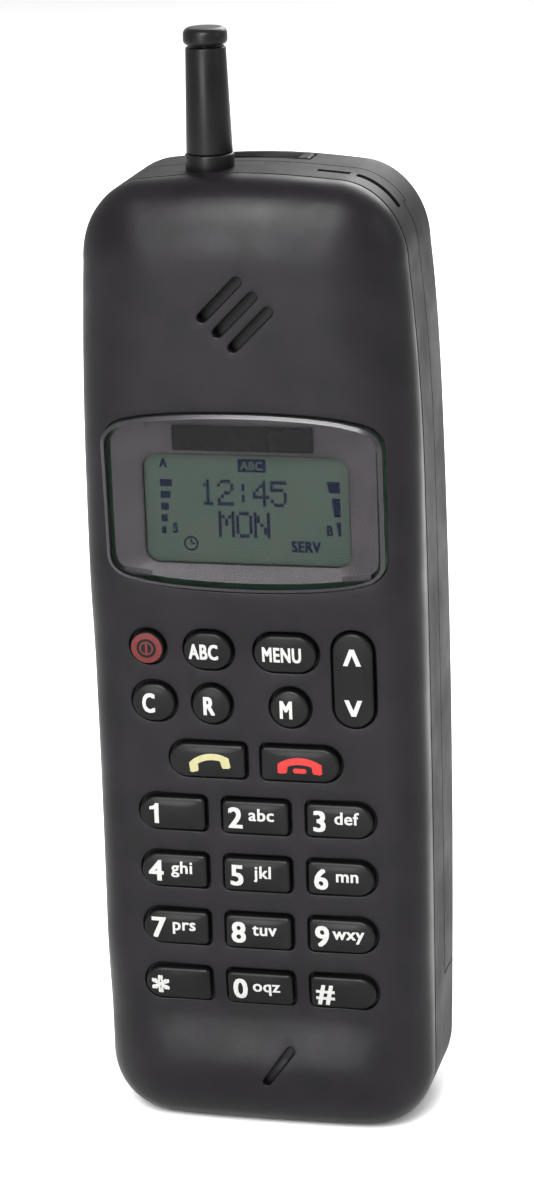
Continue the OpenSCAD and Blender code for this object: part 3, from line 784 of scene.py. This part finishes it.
def slot_blocks(x_from, x_to, y_low, y_high):
    """Blocks that follow the top outline between two places, for a curved slot."""
    blocks = []
    depth, overlap, head_z = 3, 1.25, 140
    top = BODY[(BODY[:, 1] > head_z) & (BODY[:, 0] >= x_from) & (BODY[:, 0] <= x_to)]
    top = top[np.argsort(top[:, 0])]
    for a, b in zip(top, top[1:]):
        middle = (a + b) / 2
        length = np.linalg.norm(b - a) * overlap
        turn = math.degrees(math.atan2(b[1] - a[1], b[0] - a[0]))
        low = (middle[0] - length / 2, y_low, middle[1] - depth)
        high = (middle[0] + length / 2, y_high, middle[1] + 2)
        blocks.append(block(low, high, turn, middle))
    return blocks


def cut_blocks(obj, blocks):
    """Cuts blocks one after another, so that they may overlap."""
    for shell in blocks:
        cut(obj, shell.object("tool", []))


SCREWS = [(-25.2, 28.0), (25.2, 28.0), (-25.2, 98.0), (25.2, 98.0), (-19.5, 159.0), (19.5, 159.0)]
CONTACT_XS = (-7.5, -2.5, 2.5, 7.5)
LATCH_LOW, LATCH_HIGH = cad_box("release_latch")
LATCH_GAP = 0.3
LATCH_IN = 1.2
CUT_SHARP = 30
TOP_SLOTS = [(11.5, 17.5, -6.6, -4.9), (18.6, 25.6, -6.9, -4.9)]
CONNECTOR_LOW, CONNECTOR_HIGH = (-12.2, -12.5, -1), (12.2, -2.0, 6.5)


def bore_tool(x, z, r, y0, y1, steps=32):
    """A cylinder along Y as a cutting tool."""
    shell = Shell()
    low = shell.ring(circle(x, z, r, steps), y0)
    high = shell.ring(circle(x, z, r, steps), y1)
    shell.bridge(low, high)
    shell.fan(low, (x, y0, z))
    shell.fan(high, (x, y1, z))
    return shell.object("tool", [])


def rear_housing():
    """Side band, lower block and battery bay, hollow towards the boards."""
    housing = rear_solid("rear_housing_shell")
    cut(housing, battery_space("tool", -PART_GAP))
    hollow = rear_solid("hollow", HOUSING_WALL, -2.0)
    cut(hollow, battery_space("tool", -BAY_FLOOR))
    cut(housing, hollow)
    screw_r, screw_in, head_r, head_depth, clear_of = 1.1, 6, 2.1, 1.5, 9
    for x, z in SCREWS:
        seat = face_at(z) + BATTERY_LINE - head_depth
        cut(housing, bore_tool(x, z, screw_r, seat - screw_in, seat + 4))
        cut(housing, bore_tool(x, z, head_r, seat, seat + clear_of))
    contact_half_w, contact_low, contact_high, through = 1.2, 30, 40, 20
    blocks = [block(CONNECTOR_LOW, CONNECTOR_HIGH)]
    blocks += [block((x - contact_half_w, -through, contact_low),
                        (x + contact_half_w, through, contact_high)) for x in CONTACT_XS]
    sim_low, sim_high = cad_box("sim_card")
    pocket_gap, pocket_back, travel = 0.3, 6, 12.0
    blocks.append(block(
        (sim_low.x - pocket_gap, sim_low.y - PART_GAP, sim_low.z - travel - pocket_gap),
        (sim_high.x + pocket_gap, pocket_back, sim_high.z + pocket_gap)))
    for slot in TOP_SLOTS:
        blocks += slot_blocks(*slot)
    cut_blocks(housing, blocks)
    socket_r = 3.5
    cut(housing, lathe("tool", [(socket_r, 150), (socket_r, BODY_H + 5)], aerial_axis(), BLACK))
    smooth(housing.data, CUT_SHARP)
    place(housing, "handset", "rear_plastic", "rear_housing")


def battery_case():
    """The battery pack's outer shell with its latch shaft."""
    lid_t = 1.4
    wall = 1.0
    case = rear_solid("battery_case_shell")
    cut(case, battery_space("tool", PART_GAP), "INTERSECT")
    hollow = rear_solid("hollow", BATTERY_WALL)
    cut(hollow, battery_space("tool", PART_GAP + lid_t), "INTERSECT")
    shaft_z = 160.0
    shaft_low = (LATCH_LOW.x - LATCH_GAP, LATCH_LOW.y + LATCH_IN - LATCH_GAP, shaft_z)
    shaft_high = (LATCH_HIGH.x + LATCH_GAP, LATCH_HIGH.y + LATCH_GAP, BODY_H + 4)
    cut_blocks(hollow, [block([c - wall for c in shaft_low], [c + wall for c in shaft_high])])
    cut(case, hollow)
    tooth_half_w, tooth_y = 4.3, -10
    tooth = block((-tooth_half_w, tooth_y, LATCH_LOW.z + 0.2),
                  (tooth_half_w, LATCH_LOW.y + 2, LATCH_LOW.z + 3))
    cut_blocks(case, [block(shaft_low, shaft_high), tooth])
    smooth(case.data, CUT_SHARP)
    place(case, "battery_pack", "rear_plastic", "battery_case", "battery_lid")


def bay_seal():
    """Sealing rib up the middle of the battery's joint."""
    half_w, thick = 0.6, 0.25
    heights = np.linspace(BATTERY_LOW_Z + 2, STEP_Z - 2, 40)
    outline = np.array([(-half_w, z) for z in heights] + [(half_w, z) for z in reversed(heights)])
    seat = face_at(outline[:, 1]) + BATTERY_LINE
    shell = Shell()
    front = shell.ring(outline, seat)
    back = shell.ring(outline, seat + thick)
    shell.bridge(front, back)
    for ring in (front, back):
        for i in range(len(heights) - 1):
            shell.add((ring[i], ring[i + 1], ring[-2 - i], ring[-1 - i]))
    place(shell.object("bay_seal", [BLACK]), "handset", "elastomer")


# ---- keys and legends


def key_cap(key, inks):
    """Domed cap with a rounded top edge, over a flange, with its printed legends."""
    rocks = key.node == "scroll_rocker"
    body = "rocker" if rocks else key.node + "_button"
    fillet, flange_t = 0.55, 0.5
    flange = 0.0 if rocks else 0.85
    flange_y = face_at(key.z) + COVER_WALL + 0.45
    full = key.outline()
    rest = key.top(full[:, 0], full[:, 1])
    shell = Shell()
    last = shell.ring(key.outline(flange), flange_y + flange_t)
    shell.fan(last, (key.x, flange_y + flange_t, key.z))
    rings = [(key.outline(flange), flange_y), (full, flange_y)]
    for turn in np.radians([0, 18, 36, 54, 72, 90]):
        rings.append((key.outline(-fillet * (1 - math.cos(turn))),
                      rest + fillet * (1 - math.sin(turn))))
    edge = key.outline(-fillet)
    centre = np.array([key.x, key.z])
    for s in (0.1, 0.25, 0.45, 0.7):
        loop = edge + (centre - edge) * s
        blend = smooth_step(s, 0, 0.25)
        rings.append((loop, rest * (1 - blend) + key.top(loop[:, 0], loop[:, 1]) * blend))
    last = shell.loft(last, rings)
    shell.fan(last, (key.x, float(key.top(key.x, key.z)), key.z))
    place(shell.object(key.node + "_cap", [KEY], 40), body, "key_rubber", key.node)
    for ink in inks:
        place(ink, body, "key_rubber")


def draped(name, flat, depth_at, material):
    """Lays a flat print on a curved surface: cuts it into small pieces and adds the depth."""
    mesh = bpy.data.meshes.new(name)
    mesh.from_pydata([tuple(v) for v in flat.verts], [], flat.faces)
    work = bmesh.new()
    work.from_mesh(mesh)
    piece = 0.6
    for axis in (0, 2):
        normal = Vector((axis == 0, 0, axis == 2))
        places = [v.co[axis] for v in work.verts]
        for at in np.arange(min(places) + piece, max(places), piece):
            geometry = work.verts[:] + work.edges[:] + work.faces[:]
            bmesh.ops.bisect_plane(work, geom=geometry, plane_co=normal * at, plane_no=normal)
    for v in work.verts:
        v.co.y += float(depth_at(v.co.x, v.co.z))
        v.co *= MM
    bmesh.ops.recalc_face_normals(work, faces=work.faces)
    work.to_mesh(mesh)
    work.free()
    mesh.materials.append(material)
    return finished(name, mesh)


def flat_shape(name, outlines, depth_at, material, thick=0.05):
    """Thin print: filled (x, z) outlines laid on a surface."""
    shell = Shell()
    for outline in outlines:
        shell.slab(outline, -thick / 2, thick / 2)
    return draped(name, shell, depth_at, material)


def ring_shape(name, cx, cz, outer, inner, depth_at, material, steps=48, thick=0.05):
    """Thin print in the form of a ring."""
    shell = Shell()
    rings = [shell.ring(circle(cx, cz, r, steps), side * thick / 2)
             for r, side in ((outer, -1), (inner, -1), (inner, 1), (outer, 1))]
    for a, b in zip(rings, rings[1:] + rings[:1]):
        shell.bridge(a, b)
    return draped(name, shell, depth_at, material)


def lettering(name, text, size, x, z, depth_at, material, weight, narrow=1.0, thick=0.05):
    """Text laid on a surface, its capitals size millimetres tall and centred at (x, z).

    The strokes are made bolder by laying shifted copies of the text over each other.
    """
    curve = bpy.data.curves.new(name, "FONT")
    curve.body = text
    curve.align_x = "CENTER"
    cap_share = 0.7
    curve.size = size / cap_share
    curve.extrude = thick / 2
    curve.space_character = 1 + 1.5 * weight
    curve.resolution_u = 3
    text_object = linked(name, curve)
    graph = bpy.context.evaluated_depsgraph_get()
    mesh = bpy.data.meshes.new_from_object(text_object.evaluated_get(graph))
    bpy.data.objects.remove(text_object)
    shift = weight * size
    shell = Shell()
    layer_t, rise_share = 0.004, 0.6
    for layer, (side, rise) in enumerate(((-1, -1), (1, -1), (1, 1), (-1, 1))):
        first = len(shell.verts)
        lift = layer * layer_t
        for v in mesh.vertices:
            shell.verts.append((x + (v.co.x + side * shift) * narrow, -v.co.z - lift,
                                z + v.co.y + rise * shift * rise_share - size / 2))
        for polygon in mesh.polygons:
            shell.add(tuple(first + i for i in polygon.vertices))
    return draped(name, shell, depth_at, material)


def handset_shape(cx, cz, w, thick, bend, lobe, tilt):
    """Outline of a telephone handset sign: a bowed bar with a pad hanging at each end."""
    half = math.radians(bend)
    radius = w / 2 / math.sin(half)
    outer, inner = [], []
    for a in np.linspace(-half, half, 15):
        outer.append((radius * math.sin(a), radius * math.cos(a) + thick / 2))
        inner.append((radius * math.sin(a) * 0.92, radius * math.cos(a) - thick / 2))
    inner = [p for p in inner if abs(p[0]) < w / 2 * 0.56]
    down = outer[0][1] - thick - lobe
    left = [(-w / 2 * 1.02, down + 0.2), (-w / 2 * 0.9, down), (-w / 2 * 0.62, down + 0.15),
            (-w / 2 * 0.58, down + lobe * 0.75)]
    right = [(-x, z) for x, z in reversed(left)]
    points = np.array(left + inner + right + list(reversed(outer)))
    points[:, 1] -= points[:, 1].mean()
    return rotated(points, tilt) + np.array([cx, cz])


def figure_one(cx, cz, height):
    """Outline of the figure one, with its flag."""
    stem, flag = 0.22, 0.24
    points = np.array([(0.0, -0.5), (stem, -0.5), (stem, 0.5), (0.05, 0.5), (-0.03, 0.38),
                       (-flag, 0.31), (-flag, 0.17), (0.0, 0.2)])
    return points * height + np.array([cx, cz])


def chevron(cx, cz, up):
    """Outline of a scroll sign that points up (1) or down (-1)."""
    half, tall, stroke, tip, thick = 1.6, 3.0, 0.85, 0.42, 1.1
    points = np.array([(-half, -tall / 2), (-half + stroke, -tall / 2), (0, tall / 2 - thick),
                       (half - stroke, -tall / 2), (half, -tall / 2), (tip, tall / 2),
                       (-tip, tall / 2)])
    return points * np.array([1, up]) + np.array([cx, cz])


WORDS = [("key_abc", "ABC", 2.7, -0.6, 0.66), ("key_menu", "MENU", 2.6, -0.5, 0.65),
         ("key_clear", "C", 3.4, -0.8, 0.68), ("key_recall", "R", 3.2, -0.4, 0.74),
         ("key_memory", "M", 3.1, -0.5, 0.7)]


def number_keys():
    """The twelve number keys: a large sign on the left and small letters beside it."""
    bold, letters_bold, letters_wide = 0.045, 0.035, 1.03
    round_in, square_in, hash_out = 3.2, 3.5, 0.3
    letters_right, letters_up, letters_size = 4.7, 0.75, 2.2
    for node, digit, letters in NUMBERS:
        key = KEYS[node]
        x = key.x - (round_in if key.left_r > SQUARE_R else square_in)
        x += hash_out if digit == "#" else 0
        size, lift = (5.0, -1.3) if digit == "*" else (3.7, 0.0)
        name = node + "_digit"
        if digit == "1":
            inks = [flat_shape(name, [figure_one(x, key.z, size)], key.top, LEGEND)]
        else:
            inks = [lettering(name, digit, size, x, key.z + lift, key.top, LEGEND, bold)]
        if letters:
            inks.append(lettering(node + "_letters", letters, letters_size, x + letters_right,
                                  key.z + letters_up, key.top, LEGEND, letters_bold,
                                  letters_wide))
        key_cap(key, inks)


def keypad():
    """Every key with its printed legend."""
    number_keys()
    for node, word, size, shift, narrow in WORDS:
        key = KEYS[node]
        key_cap(key, [lettering(node + "_legend", word, size, key.x + shift, key.z, key.top,
                                LEGEND, 0.06, narrow)])

    key = KEYS["key_power"]
    bar = pill(0.4, 1.9, 0.1, 0.1) + np.array([key.x, key.z])
    key_cap(key, [ring_shape("power_ring", key.x, key.z, 2.75, 1.75, key.top, POWER_INK),
                  ring_shape("power_sign", key.x, key.z, 1.25, 0.95, key.top, POWER_INK),
                  flat_shape("power_bar", [bar], key.top, POWER_INK)])

    key = KEYS["key_send"]
    lifted = handset_shape(key.x + 0.4, key.z + 0.1, 7.2, 1.15, 38, 0.7, 8)
    key_cap(key, [flat_shape("send_sign", [lifted], key.top, SEND_INK)])

    key = KEYS["key_end"]
    laid = handset_shape(key.x, key.z + 0.1, 7.8, 1.25, 34, 0.6, 0)
    cradle = pill(2.4, 0.9, 0.4, 0.4) + np.array([key.x, key.z - 0.95])
    key_cap(key, [flat_shape("end_sign", [laid, cradle], key.top, END_INK)])

    key = KEYS["scroll_rocker"]
    key_cap(key, [flat_shape("rocker_up", [chevron(key.x, key.z + 4.3, 1)], key.top, LEGEND),
                  flat_shape("rocker_down", [chevron(key.x, key.z - 4.9, -1)], key.top, LEGEND)])


# ---- window and display

LENS_RAISED = 0.85
LCD_FRONT = cad_box("lcd_glass")[0].y


def display_window():
    """Clear lens with a bevelled edge that stands out of the face."""
    bevel, cheek, crown, seat_depth = 0.7, 0.55, 0.0004, 1.0
    centre = np.array([0, WINDOW_Z])

    def top(loop):
        return face_at(loop[:, 1]) + crown * loop[:, 0] ** 2 - LENS_RAISED

    shell = Shell()
    outer = window_outline()
    seat = face_at(WINDOW_Z) + seat_depth
    back = shell.ring(outer, seat)
    shell.fan(back, (0, seat, WINDOW_Z))
    loops = [(outer, top(outer) + cheek)]
    for grow, lift in ((-0.08, 0.4), (-bevel * 0.75, 0.1), (-bevel, 0.0)):
        edge = window_outline(grow)
        loops.append((edge, top(edge) + lift))
    last = shell.loft(back, loops, 1)
    inner = [edge + (centre - edge) * s for s in (0.3, 0.65)]
    last = shell.loft(last, [(loop, top(loop)) for loop in inner])
    shell.fan(last, (0, float(top(np.array([centre]))[0]), WINDOW_Z))
    lens = shell.object("display_window_lens", [WINDOW, WINDOW_EDGE], 25)
    place(lens, "handset", "clear_window", "display_window")


def display_surround():
    """Moulded surround that slopes from the lens's edge to the display's opening."""
    edge_in, glass_gap = 1.3, 0.05
    opening = pill(LCD_W, LCD_H, LCD_CORNER, LCD_CORNER, 0.0, 0.6) + np.array([0, LCD_Z])
    centre = np.array([0, LCD_Z])
    outline = window_outline(-edge_in)
    outer = []
    for a in np.arctan2(opening[:, 1] - LCD_Z, opening[:, 0]):
        direction = np.array([math.cos(a), math.sin(a)])
        outer.append(centre + direction * outline_hit(outline, centre, direction))
    outer = np.array(outer)
    base = face_at(WINDOW_Z)
    shell = Shell()
    rings = [shell.ring(outer, base + 1.15)]
    for s, y in ((0.25, 1.45), (0.8, 2.15), (0.97, 2.3), (1.0, 2.4)):
        rings.append(shell.ring(outer + (opening - outer) * s, base + y))
    rings.append(shell.ring(opening, LCD_FRONT - glass_gap))
    rings.append(shell.ring(opening + (opening - centre) * 0.03, LCD_FRONT - glass_gap))
    rings.append(shell.ring(outer, base + 1.9))
    for a, b in zip(rings, rings[1:] + rings[:1]):
        shell.bridge(a, b)
    place(shell.object("display_surround", [BEZEL], 30), "handset", "mask_black", "display_mask")

    plate = pill(24.5, 4.4, 0.4, 0.4) + np.array([0, 127.2])
    name_plate = flat_shape("blank_name_plate", [plate], lambda x, z: base + 1.12, GLOSS, 0.12)
    place(name_plate, "handset", "mask_black")
    tab_x, tab_turn = 19.2, 7
    for x, z, turn in ((-tab_x, 129.0, tab_turn), (tab_x, 129.0, -tab_turn),
                       (-tab_x, 103.4, -tab_turn), (tab_x, 103.4, tab_turn)):
        shape = rotated(pill(5.0, 0.9, 0.15, 0.15), turn) + np.array([x, z])
        tab = flat_shape("window_tab_%d_%d" % (x > 0, z > WINDOW_Z), [shape],
                         lambda px, pz: base + 1.06, BEZEL, 0.1)
        place(tab, "handset", "mask_black")


def outline_hit(outline, start, direction):
    """Distance from start to a closed outline along a direction."""
    def cross(a, b):
        return a[0] * b[1] - a[1] * b[0]

    best, tiny = 0.0, 1e-6
    for a, b in zip(outline, np.roll(outline, -1, axis=0)):
        side, rel = b - a, a - start
        slant = cross(direction, side)
        if abs(slant) > 1e-9:
            along, share = cross(rel, side) / slant, cross(rel, direction) / slant
            if along > 0 and -tiny <= share <= 1 + tiny:
                best = max(best, along)
    return best


DOTS = {
    "1": "00100 01100 00100 00100 00100 00100 01110",
    "2": "01110 10001 00001 00110 01000 10000 11111",
    "4": "00010 00110 01010 10010 11111 00010 00010",
    "5": "11111 10000 11110 00001 00001 10001 01110",
    ":": "00000 00100 00100 00000 00100 00100 00000",
    "M": "10001 11011 10101 10101 10001 10001 10001",
    "O": "01110 10001 10001 10001 10001 10001 01110",
    "N": "10001 11001 11001 10101 10011 10011 10001",
}


def dot_row(text, cx, z_top):
    """Outlines of the lit dots of a row of five-by-seven characters."""
    dot_w, dot_h, advance, gap = 0.58, 0.66, 3.1, 0.05
    outlines = []
    left = cx - (len(text) * advance - (advance - 5 * dot_w)) / 2
    for i, letter in enumerate(text):
        for row, bits in enumerate(DOTS[letter].split()):
            for column in (c for c, bit in enumerate(bits) if bit == "1"):
                x = left + i * advance + column * dot_w
                z = z_top - row * dot_h
                outlines.append(block_outline(x + gap / 2, x + dot_w - gap / 2,
                                              z - dot_h + gap / 2, z - gap / 2))
    return outlines


def block_outline(x0, x1, z0, z1):
    return np.array([(x0, z0), (x1, z0), (x1, z1), (x0, z1)])


def display():
    """Display glass with its dark segments."""
    low, high = cad_box("lcd_glass")
    shell = Shell()
    corner, ink_t = 0.4, 0.04
    outline = pill(high.x - low.x, high.z - low.z, corner, corner) + np.array([0, LCD_Z])
    shell.slab(outline, low.y, high.y)
    place(shell.object("lcd_panel", [LCD]), "handset", "lcd_panel", "lcd_glass")

    def on_glass(x, z):
        return LCD_FRONT - 0.01

    top = LCD_Z + LCD_H / 2
    left, right = -15.2, 16.3
    outlines = dot_row("12:45", -0.6, top - 4.4) + dot_row("MON", -0.6, top - 10.0)
    for i, w in enumerate((2.1, 1.8, 1.4, 1.1, 0.8)):
        z = top - 4.6 - 2.1 * i
        outlines.append(block_outline(left, left + w, z - 1.25, z))
    for (w, h), z in zip(((2.3, 2.0), (1.5, 3.3), (0.8, 2.5)), (4.3, 7.2, 11.4)):
        bar = block_outline(right - w, right, top - z - h, top - z)
        bar[0][0] += 0.35
        outlines.append(bar)
    x, z = -10.1, top - 15.9
    hands = [block_outline(x, x + 0.7, z - 0.15, z + 0.15),
             block_outline(x - 0.15, x + 0.15, z + 0.2, z + 0.8)]
    box = block_outline(-1.4, 3.5, top - 3.0, top - 0.7)
    parts = [flat_shape("lcd_segments", outlines, on_glass, SEGMENT, ink_t),
             ring_shape("lcd_clock", x, z, 1.3, 1.0, on_glass, SEGMENT, 32, ink_t),
             flat_shape("lcd_clock_hands", hands, on_glass, SEGMENT, ink_t)]
    for word, size, x, down in (("A", 1.6, -14.5, 1.7), ("S", 1.7, -12.8, 13.2),
                                ("B", 1.7, 14.3, 12.9), ("SERV", 1.9, 10.1, 15.9)):
        parts.append(lettering("lcd_" + word.lower(), word, size, x, top - down, on_glass, SEGMENT,
                               0.07, 0.8, ink_t))
    parts += [flat_shape("lcd_abc_box", [box], on_glass, SEGMENT, ink_t),
              lettering("lcd_abc", "ABC", 1.45, 1.05, top - 1.85,
                        lambda x, z: LCD_FRONT - 0.04, LCD, 0.02, 0.95, ink_t)]
    for part in parts:
        place(part, "handset", "lcd_panel")


# ---- aerial, latch, small parts


def aerial_axis():
    low, high = cad_box("antenna_sleeve")
    return (low.x + high.x) / 2, (low.y + high.y) / 2


def rounded_profile(r0, r1, z0, z1, low_round, high_round, bore=0.0):
    """Lathe profile of a straight or tapered barrel with rounded ends."""
    def radius(z):
        return r0 + (r1 - r0) * (z - z0) / (z1 - z0)

    profile = [(bore, z0)] if bore else []
    for end, rounding, side, start in ((z0, low_round, 1, -90), (z1, high_round, -1, 0)):
        for turn in np.radians(np.linspace(start, start + 90, 6)):
            z = end + rounding * (side + math.sin(turn))
            profile.append((radius(z) - rounding * (1 - math.cos(turn)), z))
    if bore:
        profile.append((bore, z1))
    return profile


def aerial():
    """Collar, tapered sleeve and the whip's round cap."""
    axis = aerial_axis()
    bore = 1.3
    specs = [("antenna_collar", 4.15, 4.2, 0.15, 0.35, bore, "handset"),
             ("antenna_sleeve", 3.95, 3.4, 0.3, 0.35, bore, "handset"),
             ("antenna_cap", 3.75, 3.7, 0.8, 1.1, 0.0, "antenna_whip")]
    for node, r0, r1, low_round, high_round, hole, body in specs:
        low, high = cad_box(node)
        start = BODY_H - 0.6 if node == "antenna_collar" else low.z
        profile = rounded_profile(r0, r1, start, high.z, low_round, high_round, hole)
        piece = lathe(node + "_turned", profile, axis, AERIAL, 72, hole)
        place(piece, body, "antenna_plastic", node)


def bevelled_block(name, low, high, radius, material, segments=4):
    """A block with all its edges rounded."""
    obj = block(low, high).object(name, [material])
    work = bmesh.new()
    work.from_mesh(obj.data)
    bmesh.ops.bevel(work, geom=work.edges[:] + work.verts[:], offset=radius * MM,
                    segments=segments, profile=0.5, affect="EDGES")
    work.to_mesh(obj.data)
    work.free()
    obj.data.shade_smooth()
    return obj


def release_latch():
    """Ribbed push button in the top of the battery."""
    spring_room, ribs, rib_half_w, rib_half_t, rib_rise = 1.7, 5, 6.5, 0.18, 0.2
    top_z = BODY_H - 0.1
    front_y = LATCH_LOW.y + LATCH_IN
    button = bevelled_block("release_latch_button",
                            (LATCH_LOW.x, front_y, LATCH_LOW.z + spring_room),
                            (LATCH_HIGH.x, LATCH_HIGH.y, top_z), 0.5, REAR)
    place(button, "latch", "black_plastic", "release_latch")
    for i in range(ribs):
        y = front_y + (LATCH_HIGH.y - front_y) * (i + 1) / (ribs + 1)
        rib = bevelled_block("latch_rib_%d" % i, (-rib_half_w, y - rib_half_t, top_z - rib_rise),
                             (rib_half_w, y + rib_half_t, top_z + rib_rise), 0.12, REAR, 2)
        place(rib, "latch", "black_plastic")


def carried_over_nodes():
    """Gives every CAD node that stays in view or inside its own material."""
    finishes = {
        "clear_window": WINDOW, "mask_black": GLOSS, "black_plastic": BLACK, "lcd_panel": LCD,
        "light_guide": LIGHT_GUIDE, "elastomer": BLACK, "key_rubber": KEY, "steel": STEEL,
        "circuit_board": BOARD, "cast_frame": CAST, "ivory_plastic": IVORY, "rear_plastic": REAR,
        "battery_plastic": REAR, "gold_contact": GOLD, "antenna_plastic": AERIAL,
        "bright_metal": CHROME, "cell_wrap": WRAP, "cover_plastic": COVER,
    }
    for subpart in frame["record"]["subparts"]:
        mesh = frame["nodes"][subpart["node"]].data
        mesh.materials.clear()
        mesh.materials.append(finishes[subpart["material_slot"]])


# ---- studio and camera


def studio():
    """Pale floor, four soft lights and an even white surround."""
    mesh = bpy.data.meshes.new("floor")
    reach, surround, gamma = 4.0, 0.85, 0.85
    corners = ((-reach, -reach, 0), (reach, -reach, 0), (reach, reach, 0), (-reach, reach, 0))
    mesh.from_pydata(corners, [], [(0, 1, 2, 3)])
    floor = linked("floor", mesh)
    material, tree, shader = node_material("floor_paper", (0.86, 0.86, 0.86), 0.9, specular=0.1)
    vary(tree, shader, "Base Color", noise(tree, 60), 0.87, 0.88)
    mesh.materials.append(material)

    world = bpy.data.worlds.new("surround")
    world.use_nodes = True
    world.node_tree.nodes["Background"].inputs["Color"].default_value = (1, 1, 1, 1)
    world.node_tree.nodes["Background"].inputs["Strength"].default_value = surround
    bpy.context.scene.world = world
    bpy.context.scene.view_settings.view_transform = "Standard"
    bpy.context.scene.view_settings.gamma = gamma

    lights = (("front_soft", (-0.05, -0.85, 0.85), (0, 0, 0.14), 0.55, 18.0),
              ("low_soft", (-0.16, -0.95, 0.27), (0, 0, 0.08), 0.4, 5.5),
              ("right_soft", (0.9, -0.15, 0.5), (0, 0, 0.1), 0.4, 1.5),
              ("back_soft", (0.2, 0.9, 0.8), (0, 0, 0.0), 0.8, 14.0))
    for name, where, aim, size, power in lights:
        light = bpy.data.lights.new(name, "AREA")
        light.size = size
        light.energy = power
        obj = linked(name, light)
        direction = Vector(where) - Vector(aim)
        obj.rotation_euler = direction.to_track_quat("Z", "Y").to_euler()
        obj.location = where


def camera():
    """Camera at the photograph's viewing angle, fitted to the key grid and the display."""
    yaw, pitch, roll = 0.2430, 0.2967, -0.0364
    distance, shift_right, shift_up = 630.03, 3.4545, 95.688
    focal_px, image_h, sensor = 3515.1, 1186, 36.0
    level = Vector((math.sin(yaw), -math.cos(yaw), 0))
    back = level * math.cos(pitch) + Vector((0, 0, math.sin(pitch)))
    right = Vector((math.cos(yaw), math.sin(yaw), 0))
    up = back.cross(right)
    where = back * distance + right * shift_right + up * shift_up + Vector((0, FACE_Y, 0))
    right_rolled = right * math.cos(roll) + up * math.sin(roll)
    up_rolled = up * math.cos(roll) - right * math.sin(roll)
    data = bpy.data.cameras.new("camera")
    data.sensor_width = sensor
    data.lens = focal_px * sensor / image_h
    data.clip_start = 0.01
    obj = linked("camera", data)
    turn = Matrix((right_rolled, up_rolled, back)).transposed().to_4x4()
    obj.matrix_world = Matrix.Translation(where * MM) @ turn
    bpy.context.scene.camera = obj


camera()
carried_over_nodes()
front_cover()
rear_housing()
battery_case()
bay_seal()
keypad()
display_window()
display_surround()
display()
aerial()
release_latch()
studio()

bpy.context.view_layer.update()
